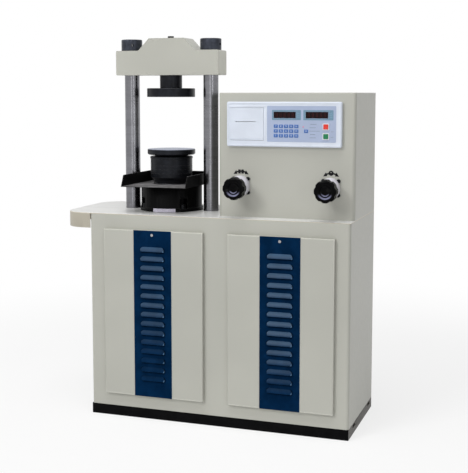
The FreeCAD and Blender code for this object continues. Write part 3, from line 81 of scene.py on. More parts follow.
class TesterColours(bpy.types.PropertyGroup):
    """Colours of the machine's finishes."""
    cream: colour_property("Cream paint", (0.465, 0.465, 0.418), "Cabinet, tower and crosshead paint")
    # Upper face of the table: partly its own paler sheet, partly painted light.
    table: colour_property("Table sheet", (0.66, 0.66, 0.645), "Upper face of the table")
    # Tan of the table's rim and other faces: painted shade.
    rim: colour_property("Overhang rim", (0.425, 0.395, 0.325), "Rolled rim of the table's overhang")
    black: colour_property("Black paint", (0.0018, 0.0018, 0.0021), "Plinth front, tray and cylinder paint")
    plinth_side: colour_property("Plinth side", (0.085, 0.080, 0.070), "Side channels of the plinth")
    louvre: colour_property("Louvre strip", (0.0018, 0.0165, 0.052), "Blue paint of the louvre strips")
    # Colour of the painted highlight on the upward faces of the louvre hoods.
    dust_and_sheen: colour_property("Louvre sheen", (0.055, 0.12, 0.21), "Painted highlight on the upper faces of the louvres")
    steel: colour_property("Ground steel", (0.20, 0.20, 0.215), "Columns, ram and spindles")
    blued: colour_property("Blued steel", (0.008, 0.009, 0.012), "Nuts, platens and block")
    face: colour_property("Platen face", (0.21, 0.245, 0.35), "Ground upper face of the lower platen")
    zinc: colour_property("Zinc plate", (0.36, 0.36, 0.37), "Bonnets, bolts and valve blocks")
    collar: colour_property("Valve collar", (0.60, 0.59, 0.64), "Bonnets and collars behind the handwheels")
    phenolic: colour_property("Handwheel", (0.0008, 0.0008, 0.0010), "Black moulded handwheels")
    bezel: colour_property("Controller frame", (0.67, 0.72, 0.81), "Pale moulded frame and printer flap")
    overlay: colour_property("Keypad overlay", (0.384, 0.449, 0.608), "Printed membrane round the keys")
    surround: colour_property("Display surround", (0.17, 0.29, 0.39), "Printed panels round the displays")
    key: colour_property("Keys", (0.045, 0.135, 0.40), "Blue membrane keys")
    window: colour_property("Display window", (0.006, 0.0008, 0.0012), "Dark red windows")
    red: colour_property("Red button", (0.72, 0.035, 0.02), "Upper push-button")
    green: colour_property("Green button", (0.0, 0.19, 0.065), "Lower push-button")


class TesterSizes(bpy.types.PropertyGroup):
    """Sizes of the small pieces."""
    edge: length_property("Edge rounding", 0.0008, "Rounding of folded and machined edges")
    print_depth: length_property("Print thickness", 0.00018, "Thickness of printed marks and labels")
    screw_d: length_property("Flange screw", 0.012, "Head diameter of the valve flange screws")
    collar_d: length_property("Valve collar", 0.058, "Diameter of the pale collars behind the handwheels")
    cover_screw_d: length_property("Cover screw", 0.007, "Head diameter of the rear cover screws")
    mark_r: length_property("Dial mark radius", 0.041, "Radius of the arc of arrows over each valve")
    plate_w: length_property("Bare plate width", 0.076, "Width of the bare plate on the cylinder's foot")
    floor_r: length_property("Floor radius", 14.0, "Radius of the studio floor")


class TesterStudio(bpy.types.PropertyGroup):
    """Levels of the studio's light."""
    key: power_property("Key light", 300.0, "Power of the front left lamp")
    top: power_property("Top light", 200.0, "Power of the overhead lamp")
    fill: power_property("Fill light", 14.0, "Power of the right lamp")
    gloss: power_property("Gloss light", 16.0, "Power of the tall lamp that shows in gloss only")
    world: bpy.props.FloatProperty(name="Surroundings", description="Strength of the even light all round",
                                   default=0.31, min=0.0)


class Value:
    """A shader socket. Arithmetic on it adds Math nodes."""

    def __init__(self, finish, socket):
        self.finish = finish
        self.socket = socket

    def math(self, operation, other, swap=False):
        values = (other, self) if swap else (self, other)
        return self.finish.node("Math", dict(enumerate(values)), operation=operation)

    def __add__(self, other):
        return self.math("ADD", other)

    def __sub__(self, other):
        return self.math("SUBTRACT", other)

    def __rsub__(self, other):
        return self.math("SUBTRACT", other, swap=True)

    def __mul__(self, other):
        return self.math("MULTIPLY", other)

    __radd__ = __add__
    __rmul__ = __mul__

    def spread(self, low, high, to_low=0.0, to_high=1.0):
        """The value mapped smoothly from one range to another, held at its ends."""
        values = {"Value": self, "From Min": low, "From Max": high, "To Min": to_low, "To Max": to_high}
        return self.finish.node("MapRange", values, interpolation_type="SMOOTHSTEP")


class Finish:
    """A material or world and the calls that add nodes to it."""

    def __init__(self, owner, place="Object"):
        owner.use_nodes = True
        self.tree = owner.node_tree
        self.tree.nodes.clear()
        self.place = self.node("TexCoord", output=place)

    def node(self, kind, values=None, output=0, **settings):
        """Add a shader node, set it, feed its sockets and give one of its outputs."""
        node = self.tree.nodes.new("ShaderNode" + kind)
        for name, setting in settings.items():
            setattr(node, name, setting)
        for name, value in (values or {}).items():
            self.feed(node.inputs[name], value)
        return Value(self, node.outputs[output]) if len(node.outputs) else None

    def feed(self, socket, value):
        if isinstance(value, Value):
            self.tree.links.new(value.socket, socket)
        elif socket.type == "RGBA":
            socket.default_value = (*value[:3], 1.0)
        else:
            socket.default_value = value

    def noise(self, size, detail=3.0, stretch=(1.0, 1.0, 1.0), roughness=0.5):
        """Soft noise whose features are about one size across, in metres."""
        place = self.place
        if stretch != (1.0, 1.0, 1.0):
            place = self.node("VectorMath", {0: place, 1: stretch}, operation="MULTIPLY")
        return self.node("TexNoise", {"Vector": place, "Scale": 1.0 / size, "Detail": detail,
                                                "Roughness": roughness}, output="Fac")

    def mix(self, factor, a, b):
        """Two colours mixed by a factor."""
        return self.node("Mix", {0: factor, 6: a, 7: b}, output=2, data_type="RGBA")

    def shades(self, factor, colour, darker, lighter):
        """A colour that drifts between a darker and a lighter shade of itself."""
        return self.mix(factor.spread(0.3, 0.7), scaled(colour, darker), scaled(colour, lighter))

    def axis(self, index):
        """One coordinate of the place, in metres."""
        return self.node("SeparateXYZ", {0: self.place}, output=index)

    def facing(self, index):
        """One part of the surface's own direction."""
        normal = self.node("NewGeometry", output="Normal")
        return self.node("SeparateXYZ", {0: normal}, output=index)

    def edge(self, radius):
        """One on sharp outer edges, falling to zero on flat faces."""
        soft = self.node("Bevel", {"Radius": radius}, samples=4)
        hard = self.node("NewGeometry", output="Normal")
        along = self.node("VectorMath", {0: soft, 1: hard}, output="Value", operation="DOT_PRODUCT")
        return (1.0 - along).spread(0.01, 0.14)

    def worn(self, radius, size, detail, low, high):
        """Sharp outer edges, broken up into patches by noise."""
        return self.edge(radius) * self.noise(size, detail).spread(low, high)

    def painted_edge_highlight(self, radius):
        """One on a face just under an edge that turns upwards, where a painted highlight runs along the edge.
        """
        soft = self.node("Bevel", {"Radius": radius}, samples=4)
        upward = self.node("SeparateXYZ", {0: soft}, output=2)
        return (upward - self.facing(2)).spread(0.05, 0.40)

    def bump(self, height, strength, distance):
        return self.node("Bump", {"Height": height, "Strength": strength, "Distance": distance})

    def done(self, base, rough, normal, shine=0.5, **sockets):
        """Close the material with a Principled shader. Its other sockets are given by name."""
        named = {name.replace("_", " "): value for name, value in sockets.items()}
        named.update({"Base Color": base, "Roughness": rough, "Normal": normal, "Specular IOR Level": shine})
        shader = self.node("BsdfPrincipled", named)
        self.node("OutputMaterial", {"Surface": shader})


PAINT_IOR = 1.48
PAINT_GRAIN = 0.0016
PAINT_DEPTH = 0.00025
# Radius of the painted highlight along upper edges.
PAINTED_HIGHLIGHT_R = 0.005
WORN_PAINT = (0.20, 0.19, 0.17)
AROUND_Z = (0.02, 0.02, 1.0)
AROUND_Y = (0.02, 1.0, 0.02)
DISH_R = 24.0 * MM


def scaled(colour, factor):
    """A colour made darker or lighter."""
    return tuple(min(1.0, part * factor) for part in colour)


FINISHES = {}


def new_finish(name):
    """Start a material, kept under its name for the pieces that wear it."""
    FINISHES[name] = bpy.data.materials.new(name)
    return Finish(FINISHES[name])


def enamel(name, colour, roughness=0.36, grain=PAINT_GRAIN, wear=0.25, grime=0.5, painted_edge_highlight=0.0, painted_light_right=0.0):
    """Sprayed paint: faint orange peel, slow drift of shade, dust film and thin wear along edges.

    Upper edges can be given a painted highlight, and faces that look to the right painted light that hides
    their shade.
    """
    f = new_finish(name)
    drift = f.noise(0.32, 2.0).spread(0.3, 0.7)
    mottle = f.noise(0.018, 4.0)
    chips = f.worn(0.0012, 0.006, 5.0, 0.52, 0.70) * wear
    base = f.mix(drift, scaled(colour, 0.965), scaled(colour, 1.03))
    base = f.mix(mottle.spread(0.55, 0.85) * (0.12 * grime), base, scaled(colour, 0.80))
    base = f.mix(chips, base, WORN_PAINT)
    # Painted highlight: a lighter band just under upper edges.
    if painted_edge_highlight:
        base = f.mix(f.painted_edge_highlight(PAINTED_HIGHLIGHT_R) * painted_edge_highlight, base, scaled(colour, 1.9))
    # Painted light: faces that look to the right are lightened, so they show no shade.
    if painted_light_right:
        base = f.mix(f.facing(0).spread(0.6, 0.95) * painted_light_right, base, scaled(colour, 1.6))
    rough = roughness + (mottle - 0.5) * 0.16 + (drift - 0.5) * 0.05
    height = f.noise(grain, 2.0) + f.noise(grain * 6.0, 2.0) * 0.8
    f.done(base, rough, f.bump(height, 0.18, PAINT_DEPTH), IOR=PAINT_IOR, shine=0.25,
           Coat_Weight=0.05, Coat_Roughness=0.25)


def table_enamel(name, side, top):
    """Pale paint of the table, scuffed on the face that work is slid across.

    Its upper face is a paler sheet, made paler still with painted light,
    and its other faces take a tan that is painted shade.
    """
    f = new_finish(name)
    up = f.facing(2).spread(0.35, 0.85)
    drift = f.noise(0.25, 2.0).spread(0.3, 0.7)
    scuff = f.noise(0.09, 5.0, stretch=(0.25, 1.0, 1.0)).spread(0.50, 0.72)
    fine = f.noise(0.004, 4.0, stretch=(0.08, 1.0, 1.0)).spread(0.56, 0.75)
    # Painted shade: faces that don't look up take the darker tan.
    shaded_sides = f.mix(drift, scaled(side, 0.965), scaled(side, 1.03))
    # The upper face is a paler sheet, made paler still with painted light.
    pale_lit_tops = f.mix(drift, scaled(top, 0.96), scaled(top, 1.03))
    pale_lit_tops = f.mix(scuff * fine * 0.35, pale_lit_tops, scaled(top, 0.72))
    base = f.mix(up, shaded_sides, pale_lit_tops)
    base = f.mix(f.worn(0.0015, 0.008, 4.0, 0.55, 0.7) * 0.3, base, (0.3, 0.29, 0.27))
    # Painted highlight along the table's upper edges.
    base = f.mix(f.painted_edge_highlight(PAINTED_HIGHLIGHT_R) * 0.8, base, scaled(side, 2.0))
    rough = 0.34 + scuff * 0.14 + fine * 0.10
    height = f.noise(PAINT_GRAIN, 2.0)
    f.done(base, rough, f.bump(height, 0.16, PAINT_DEPTH), IOR=PAINT_IOR, shine=0.3,
           Coat_Weight=0.05, Coat_Roughness=0.25)


def louvre_enamel(name, colour, dust_and_sheen_tone):
    """Dark blue paint of the pressed strips: painted highlight on the hoods, painted shade under their lips.

    The painted highlight fades towards the lowest hoods, on the left strip sooner than on the right one,
    and the hoods' right ends get a brighter painted glint.
    """
    f = new_finish(name)
    low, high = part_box("left_louvre_strip")
    on_right = f.axis(0).spread(high.x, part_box("right_louvre_strip")[0].x)
    # Height up the strips, counted higher on the right one, so the painted highlight fades lower there.
    level = (f.axis(2) - low.z) * (1.0 / (high.z - low.z)) + on_right * 0.17
    upper = level.spread(0.22, 0.62)
    cloud = f.noise(0.030, 4.0)
    streak = f.noise(0.010, 4.0, stretch=(1.0, 1.0, 0.25))
    # Painted highlight: upward faces of the hoods paler, fading towards the lowest hoods.
    dust_and_sheen_mask = f.facing(2).spread(0.08, 0.75) * (cloud * 0.5 + 0.45 + on_right * 0.2)
    dust_and_sheen_mask = dust_and_sheen_mask * (upper * 0.9 + 0.1) + streak.spread(0.55, 0.85) * 0.03
    raised = f.facing(1).spread(-0.985, -0.93)
    # Painted glint: faces that look to the right, the hoods' right ends, are paler and glossier.
    turned = f.facing(0).spread(0.25, 0.65)
    # Painted shade: darker where the sheet lies under the hoods' lips.
    nearby = {"Distance": 0.014}
    shade_under_lips = f.node("AmbientOcclusion", nearby, output="AO", samples=8, only_local=True)
    base = f.shades(cloud, colour, 0.85, 1.2)
    base = f.mix(dust_and_sheen_mask, base, dust_and_sheen_tone)
    base = f.mix(turned * 0.7, base, scaled(dust_and_sheen_tone, 2.2))
    base = f.mix(f.worn(0.0010, 0.005, 4.0, 0.4, 0.65) * 0.4, base, scaled(dust_and_sheen_tone, 1.3))
    base = f.mix(shade_under_lips.spread(0.95, 0.60), base, scaled(colour, 0.10))
    rough = 0.30 + (cloud - 0.5) * 0.16 + dust_and_sheen_mask * 0.25
    coat = raised * upper * (on_right * 0.1 + 0.1) + turned * 0.5
    height = f.noise(0.0014, 2.0) + f.noise(0.009, 2.0) * 0.6
    f.done(base, rough, f.bump(height, 0.14, 0.00022), IOR=PAINT_IOR, shine=0.0,
           Coat_Weight=coat, Coat_Roughness=0.30)


def black_enamel(name, colour, roughness=0.38, dust_and_sheen=0.2, dust_and_sheen_tone=(0.16, 0.155, 0.145)):
    """Black machine paint with settled dust on its upper faces and rubbed, lighter edges."""
    f = new_finish(name)
    cloud = f.noise(0.035, 5.0)
    dust_and_sheen_mask = f.facing(2).spread(0.3, 0.95) * (cloud.spread(0.30, 0.75) * 0.6 + 0.4) * dust_and_sheen
    base = f.shades(cloud, colour, 0.75, 1.5)
    base = f.mix(dust_and_sheen_mask, base, dust_and_sheen_tone)
    base = f.mix(f.worn(0.0012, 0.005, 4.0, 0.45, 0.65) * 0.4, base, (0.11, 0.11, 0.115))
    rough = roughness + (cloud - 0.5) * 0.22 + dust_and_sheen_mask * 0.4
    height = f.noise(0.0014, 2.0) + f.noise(0.009, 3.0) * 0.7
    f.done(base, rough, f.bump(height, 0.16, PAINT_DEPTH), shine=0.05)


def turned_steel(name, colour, roughness=0.30, pitch=0.0009, oxide=0.25, stretch=AROUND_Z):
    """Bare turned or ground steel: fine tool lines, cloudy oxide and brighter edges."""
    f = new_finish(name)
    lines = f.noise(pitch, 4.0, stretch=stretch)
    broad = f.noise(pitch * 14.0, 3.0, stretch=stretch)
    stain = f.noise(0.03, 5.0, roughness=0.62).spread(0.48, 0.78)
    base = f.shades(broad, colour, 0.90, 1.07)
    base = f.mix(stain * oxide, base, scaled(colour, 0.55))
    base = f.mix(f.edge(0.001) * 0.45, base, scaled(colour, 1.5))
    rough = roughness + (lines - 0.5) * 0.10 + stain * (0.18 * oxide + 0.03) + (broad - 0.5) * 0.05
    f.done(base, rough, f.bump(lines, 0.05, 0.00008), Metallic=1.0)


def blued_steel(name, colour, roughness=0.36, stretch=(0.03, 0.03, 1.0), upper=None):
    """Chemically blackened steel: tool lines under an oily skin, worn at the corners.

    Where a colour is given for the upper face, that face is ground bare.
    """
    f = new_finish(name)
    lines = f.noise(0.0011, 4.0, stretch=stretch)
    cloud = f.noise(0.022, 5.0, roughness=0.6)
    base = f.mix(cloud.spread(0.35, 0.7), scaled(colour, 0.7), scaled(colour, 1.5))
    base = f.mix((lines - 0.35) * 0.30, base, scaled(colour, 2.4))
    metal = 0.35 + cloud * 0.2
    if upper is not None:
        bare = f.facing(2).spread(0.6, 0.95)
        rings = f.noise(0.006, 3.0, roughness=0.6)
        base = f.mix(bare, base, f.shades(rings, upper, 0.88, 1.10))
        metal = metal + bare * 0.4
    base = f.mix(f.worn(0.0012, 0.004, 4.0, 0.4, 0.62) * 0.5, base, (0.16, 0.16, 0.17))
    rough = roughness + (cloud - 0.5) * 0.2 + (lines - 0.5) * 0.10
    f.done(base, rough, f.bump(lines, 0.07, 0.0001), Metallic=metal, shine=0.2)


def moulding(name, colour, roughness=0.42, grain=0.0007, strength=0.25, coat=0.0, shine=0.4):
    """Moulded plastic: fine spark texture and a slight drift of shade and shine."""
    f = new_finish(name)
    cloud = f.noise(0.05, 3.0)
    fine = f.noise(grain, 2.0)
    base = f.shades(cloud, colour, 0.97, 1.03)
    base = f.mix(f.edge(0.0008) * 0.25, base, scaled(colour, 1.25))
    rough = roughness + (cloud - 0.5) * 0.12 + (fine - 0.5) * 0.08
    f.done(base, rough, f.bump(fine, strength, 0.00012), shine=shine, Coat_Weight=coat,
           Coat_Roughness=0.08)


def wheel_moulding(name, colour, dust_and_sheen_tone):
    """Glossy black moulding of the handwheels, with a painted highlight: pale crescents low in each dish."""
    f = new_finish(name)
    hubs = [(x, 0.0, z) for x, z, _ in valve_axes()]
    flat = f.node("VectorMath", {0: f.place, 1: (1.0, 0.0, 1.0)}, operation="MULTIPLY")
    away = [f.node("VectorMath", {0: flat, 1: hub}, output="Value", operation="DISTANCE")
            for hub in hubs]
    radius = away[0].math("MINIMUM", away[1])
    # Painted highlight: pale crescents on the upward slopes low in each dish.
    low = (hubs[0][2] - f.axis(2)).spread(0.0, 8.0 * MM)
    band = radius.spread(DISH_R + MM, DISH_R - MM) * radius.spread(DISH_R - 6.0 * MM, DISH_R - 3.0 * MM)
    ring = radius.spread(DISH_R - 8.0 * MM, DISH_R - 10.0 * MM)
    cloud = f.noise(0.012, 3.0)
    dust_and_sheen_mask = f.facing(2).spread(0.18, 0.50) * low * (band + ring) * (cloud * 0.5 + 0.45)
    base = f.shades(cloud, colour, 0.8, 1.4)
    base = f.mix(dust_and_sheen_mask.math("MINIMUM", 1.0), base, dust_and_sheen_tone)
    rough = 0.18 + (cloud - 0.5) * 0.08
    f.done(base, rough, f.bump(f.noise(0.0012, 2.0), 0.06, 0.00012), shine=0.05)


def dark_glass(name, colour):
    """Tinted display window with a faint grid of dots behind it and smears on its face."""
    f = new_finish(name)
    smear = f.noise(0.02, 4.0, stretch=(0.4, 1.0, 1.0)).spread(0.45, 0.8)
    dots = f.noise(0.0011, 1.0).spread(0.45, 0.6)
    base = f.mix(dots * 0.4, colour, scaled(colour, 1.8))
    f.done(base, 0.08 + smear * 0.12, f.bump(smear, 0.03, 0.0001), IOR=1.52, shine=0.1,
           Coat_Weight=0.08, Coat_Roughness=0.03)


def circuit_board(name):
    """Green solder mask with lighter tracks and tinned pads."""
    f = new_finish(name)
    tracks = f.noise(0.004, 1.0, stretch=(1.0, 1.0, 0.15)).spread(0.48, 0.52)
    pads = f.node("TexVoronoi", {"Vector": f.place, "Scale": 220.0}, output="Distance")
    tinned = pads.spread(0.16, 0.12)
    base = f.mix(tracks * 0.6, (0.006, 0.075, 0.022), (0.015, 0.14, 0.045))
    base = f.mix(tinned, base, (0.55, 0.55, 0.53))
    f.done(base, 0.35 - tinned * 0.1, f.bump(tracks + tinned, 0.3, 0.0001), Metallic=tinned * 0.9)


def rolled_paper(name):
    """Thermal paper roll: matt side with fine winding lines on its ends."""
    f = new_finish(name)
    fibre = f.noise(0.0012, 4.0)
    wound = f.noise(0.0006, 2.0, stretch=(0.02, 1.0, 1.0))
    base = f.mix(wound.spread(0.3, 0.7), (0.72, 0.72, 0.69), (0.86, 0.86, 0.83))
    f.done(base, 0.75 + fibre * 0.15, f.bump(fibre, 0.2, 0.0001), IOR=1.45)


def rubber(name):
    """Black nitrile seal, slightly oily."""
    f = new_finish(name)
    cloud = f.noise(0.01, 3.0)
    base = f.mix(cloud, (0.010, 0.010, 0.010), (0.028, 0.028, 0.029))
    f.done(base, 0.42 + cloud * 0.2, f.bump(f.noise(0.0005, 2.0), 0.2, 0.0001))


def print_ink(name, colour, roughness=0.45):
    """Screen-printed ink or thin film with pinholes and uneven cover."""
    f = new_finish(name)
    cover = f.noise(0.0022, 4.0)
    base = f.mix(cover.spread(0.35, 0.65), scaled(colour, 0.85), scaled(colour, 1.12))
    f.done(base, roughness + (cover - 0.5) * 0.2, f.bump(cover, 0.15, 0.00008), shine=0.2)


class Shape:
    """Mesh builder for small pieces, in the row frame."""

    def __init__(self):
        self.bm = bmesh.new()

    def slab(self, outline, placement, depth, hole=None, soften=0.0):
        """A plate from an outline in its own plane, raised along the placement's third axis."""
        bm = self.bm
        rings = [outline, hole[::-1]] if hole else [outline]
        floors = [[bm.verts.new(placement @ Vector((u, v, 0.0))) for u, v in ring] for ring in rings]
        roofs = [[bm.verts.new(placement @ Vector((u, v, depth))) for u, v in ring] for ring in rings]
        for lower, upper in zip(floors, roofs):
            count = len(lower)
            for i in range(count):
                j = (i + 1) % count
                bm.faces.new((lower[i], lower[j], upper[j], upper[i]))
        for layer in (floors, roofs):
            if hole:
                bmesh.ops.triangle_fill(bm, use_beauty=True, edges=self.loop_edges(layer))
            else:
                bm.faces.new(layer[0])
        if soften:
            bmesh.ops.bevel(bm, geom=self.loop_edges(roofs), offset=soften, segments=2, profile=0.5,
                            affect="EDGES")

    def loop_edges(self, rings):
        """The edges along closed rings of corners."""
        return [self.bm.edges.get((ring[i - 1], ring[i])) for ring in rings
                for i in [*range(1, len(ring)), 0]]

    def turning(self, profile, placement, segments, flats=()):
        """Turned (radius, height) points, closed at zero radius. Points named in flats lie on a hexagon."""
        bm = self.bm
        rings = []
        for index, (radius, height) in enumerate(profile):
            if radius == 0.0:
                rings.append([bm.verts.new(placement @ Vector((0.0, 0.0, height)))])
                continue
            ring = []
            for i in range(segments):
                angle = 2.0 * math.pi * i / segments
                away = radius
                if index in flats:
                    away = radius / math.cos((angle + math.pi / 6) % (math.pi / 3) - math.pi / 6)
                point = Vector((away * math.cos(angle), away * math.sin(angle), height))
                ring.append(bm.verts.new(placement @ point))
            rings.append(ring)
        for a, b in zip(rings, rings[1:]):
            for i in range(segments):
                j = (i + 1) % segments
                if len(a) == 1:
                    bm.faces.new((a[0], b[j], b[i]))
                elif len(b) == 1:
                    bm.faces.new((a[i], a[j], b[0]))
                else:
                    bm.faces.new((a[i], a[j], b[j], b[i]))

    def piece(self, name, finish, body, smooth=35.0):
        """Make the finished object, smooth between shallow faces, riding on a body."""
        bmesh.ops.remove_doubles(self.bm, verts=self.bm.verts, dist=1e-6)
        bmesh.ops.recalc_face_normals(self.bm, faces=self.bm.faces)
        limit = math.radians(smooth)
        for edge in self.bm.edges:
            edge.smooth = len(edge.link_faces) == 2 and edge.calc_face_angle(math.pi) < limit
        for face in self.bm.faces:
            face.smooth = True
        obj = new_object(self.bm, name, finish)
        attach(obj, body)


def arc(x, z, radius, start, end, steps):
    """Points along an arc, from one angle to another in degrees."""
    angles = [math.radians(start + (end - start) * i / steps) for i in range(steps + 1)]
    return [(x + radius * math.cos(a), z + radius * math.sin(a)) for a in angles]


def rectangle(x0, x1, z0, z1, radius=0.0, steps=4):
    """Corner points of a rectangle, rounded if a radius is given."""
    if not radius:
        return [(x0, z0), (x1, z0), (x1, z1), (x0, z1)]
    points = []
    for cx, cz, start in ((x1 - radius, z0 + radius, -90), (x1 - radius, z1 - radius, 0),
                          (x0 + radius, z1 - radius, 90), (x0 + radius, z0 + radius, 180)):
        points += arc(cx, cz, radius, start, start + 90, steps)
    return points


def centred(x, z, half_w, half_h, radius=0.0):
    """Corner points of a rectangle round a middle."""
    return rectangle(x - half_w, x + half_w, z - half_h, z + half_h, radius)


def circle(x, z, radius):
    return arc(x, z, radius, 0, 360, 28)[:-1]


def front_of(y):
    """Placement of a plane that faces the front at depth y: its own X and Y are the row's X and Z."""
    return Matrix(((1, 0, 0, 0), (0, 0, -1, y), (0, 1, 0, 0), (0, 0, 0, 1)))


def back_of(y):
    """Placement of a plane that faces the back at depth y: its own X and Y are the row's X and Z."""
    return Matrix(((1, 0, 0, 0), (0, 0, 1, y), (0, 1, 0, 0), (0, 0, 0, 1)))


def at(placement, x, z):
    """A placement moved within its own plane."""
    return placement @ Matrix.Translation((x, z, 0.0))


def link(obj):
    bpy.context.scene.collection.objects.link(obj)


def new_object(bm, name, finish):
    mesh = bpy.data.meshes.new(name)
    bm.to_mesh(mesh)
    bm.free()
    mesh.materials.append(material(finish))
    obj = bpy.data.objects.new(name, mesh)
    link(obj)
    return obj


def sizes():
    return bpy.context.scene.tester_sizes


def material(name):
    if name not in FINISHES:
        raise RuntimeError("make the finishes before the pieces: " + name)
    return FINISHES[name]


NODE_FINISHES = {
    "cream": "cabinet_front cabinet_left_side cabinet_right_side cabinet_rear_cover tower_shell"
             " tower_rear_cover",
    "crosshead": "crosshead",
    "panel": "left_panel right_panel",
    "table": "table_top",
    "black": "base_cross_rails cylinder_body load_beam beam_pedestals",
    "tray": "debris_tray",
    "plinth_grey": "base_side_rails cabinet_floor oil_tank tank_lid",
    "louvre_blue": "left_louvre_strip right_louvre_strip",
    "ground_steel": "left_column right_column piston drive_shaft",
    "spindle_steel": "delivery_spindle return_spindle",
    "nut_steel": "column_nuts",
    "blued": "column_foot_nuts crosshead_bolt upper_spindle upper_platen ball_seat_block oil_pump",
    "lower_face": "lower_platen",
    "screw_black": "cylinder_bolts",
    "zinc": "gland_ring delivery_valve_block return_valve_block pressure_sensor",
    "bright": "left_panel_lock right_panel_lock",
    "collar": "valve_bonnets",
    "phenolic": "filler_cap",
    "wheel": "delivery_handwheel return_handwheel",
    "bezel": "controller_bezel printer_door printer_module",
    "overlay": "keypad_overlay",
    "window": "display_windows",
    "red": "red_button",
    "green": "green_button",
    "board": "controller_board",
    "paper": "paper_roll",
    "rubber": "piston_seal",
    "motor": "pump_motor",
    "pipe": "pressure_pipes low_pressure_pipes",
}


class TESTER_OT_finishes(bpy.types.Operator):
    """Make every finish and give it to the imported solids"""
    bl_idname = "tester.finishes"
    bl_label = "Finishes"

    def execute(self, context):
        c = context.scene.tester_colours
        enamel("cream", c.cream)
        # Panels: painted highlight along their upper edges.
        enamel("panel", c.cream, painted_edge_highlight=0.9)
        # Crosshead: its right end lightened with painted light.
        enamel("crosshead", c.cream, painted_light_right=1.0)
        table_enamel("table", c.rim, c.table)
        black_enamel("black", c.black)
        black_enamel("tray", c.black, 0.42, 1.0, (0.22, 0.215, 0.22))
        enamel("plinth_grey", c.plinth_side, 0.5, 0.003, wear=0.6, grime=2.0)
        # Louvre strips: painted highlight on the hoods, painted shade under their lips.
        louvre_enamel("louvre_blue", c.louvre, c.dust_and_sheen)
        turned_steel("ground_steel", c.steel, 0.24)
        turned_steel("spindle_steel", c.steel, 0.3, stretch=AROUND_Y)
        blued_steel("nut_steel", scaled(c.blued, 4.5))
        blued_steel("blued", c.blued)
        blued_steel("lower_face", c.blued, 0.34, upper=c.face)
        blued_steel("screw_black", scaled(c.blued, 0.6), stretch=(1.0, 1.0, 1.0))
        turned_steel("zinc", c.zinc, 0.34, 0.0012, 0.35)
        turned_steel("bright", scaled(c.zinc, 1.05), 0.24, 0.0010, 0.1, AROUND_Y)
        turned_steel("pipe", scaled(c.steel, 0.9), 0.36, 0.002, 0.5, (0.3, 0.3, 0.3))
        moulding("collar", c.collar, 0.34, 0.0009, 0.1)
        moulding("phenolic", c.phenolic, 0.16, 0.0012, 0.06, shine=0.12)
        # Lilac of the painted highlight in the handwheel dishes.
        wheel_moulding("wheel", c.phenolic, (0.28, 0.29, 0.44))
        moulding("bezel", c.bezel, 0.38)
        moulding("overlay", c.overlay, 0.34, 0.0009, 0.15)
        moulding("key", c.key, 0.36, 0.0009, 0.2)
        moulding("white", (0.76, 0.77, 0.80), 0.30, 0.0009, 0.1)
        moulding("red", c.red, 0.22, 0.0010, 0.08, coat=0.3)
        moulding("green", c.green, 0.22, 0.0010, 0.08, coat=0.3)
        moulding("lamp", (0.62, 0.28, 0.42), 0.2, 0.0010, 0.05, coat=0.4)
        dark_glass("window", c.window)
        circuit_board("board")
        rolled_paper("paper")
        rubber("rubber")
        enamel("motor", (0.075, 0.10, 0.12), 0.42, 0.003, wear=0.5, grime=1.5)
        print_ink("surround", c.surround)
        print_ink("strip", scaled(c.surround, 1.25))
        print_ink("mark_black", (0.010, 0.010, 0.012))
        print_ink("mark_pale", (0.66, 0.68, 0.74))
        print_ink("mark_grey", (0.17, 0.21, 0.27))
        print_ink("plate", (0.66, 0.63, 0.74), 0.32)
        print_ink("segment", (0.040, 0.004, 0.006), 0.25)
        left_over = set(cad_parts)
        for name, nodes in NODE_FINISHES.items():
            for node in nodes.split():
                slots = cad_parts[node].data.materials
                slots.clear()
                slots.append(material(name))
                left_over.remove(node)
        if left_over:
            raise RuntimeError("nodes without a finish: " + ", ".join(sorted(left_over)))
        return {"FINISHED"}


SHARP_NODES = ("crosshead table_top tower_shell left_panel right_panel load_beam controller_bezel"
               " printer_door base_cross_rails base_side_rails debris_tray cylinder_body pump_motor oil_pump")


class TESTER_OT_edges(bpy.types.Operator):
    """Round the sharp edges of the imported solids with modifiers"""
    bl_idname = "tester.edges"
    bl_label = "Edges"

    def execute(self, context):
        for node in SHARP_NODES.split():
            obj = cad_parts[node]
            weld = obj.modifiers.new("weld", "WELD")
            weld.merge_threshold = 0.02 * MM
            bevel = obj.modifiers.new("edges", "BEVEL")
            bevel.width = sizes().edge
            bevel.segments = 2
            bevel.limit_method = "ANGLE"
            bevel.angle_limit = math.radians(50.0)
            bevel.use_clamp_overlap = True
            bevel.harden_normals = True
        return {"FINISHED"}


def middle(node):
    """Middle of a node's box, seen from the front: (x, z)."""
    low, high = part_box(node)
    return (low.x + high.x) / 2, (low.z + high.z) / 2


def bezel_point(from_left, from_top):
    """A point of the controller's face, by its distances in millimetres from the upper left corner."""
    low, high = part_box("controller_bezel")
    return low.x + from_left * MM, high.z - from_top * MM


def bezel_patch(left, top, right, bottom, radius=0.0):
    """Outline on the controller's face, by millimetres from its left edge and from its top."""
    x0, z1 = bezel_point(left, top)
    x1, z0 = bezel_point(right, bottom)
    return rectangle(x0, x1, z0, z1, radius * MM)


def overlay_face():
    """Depth of the overlay's printed face: its raised keys stand 0.5 mm in front of it."""
    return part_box("keypad_overlay")[0].y + 0.5 * MM


# Places on the controller's face are millimetres from its left edge and its top.
KEY_FIRST = (160.0, 75.1)
KEY_PITCH = (16.4, 14.6)
LONE_KEY = (256.4, 89.7)
KEY_HALF_W = 6.6 * MM
KEY_HALF_H = 5.2 * MM
KEY_PRINT = 0.70 * MM

# One sign for each key, row by row and then the lone key. A blank stands for two printed bars.
KEY_SIGNS = "789  456  1230  "


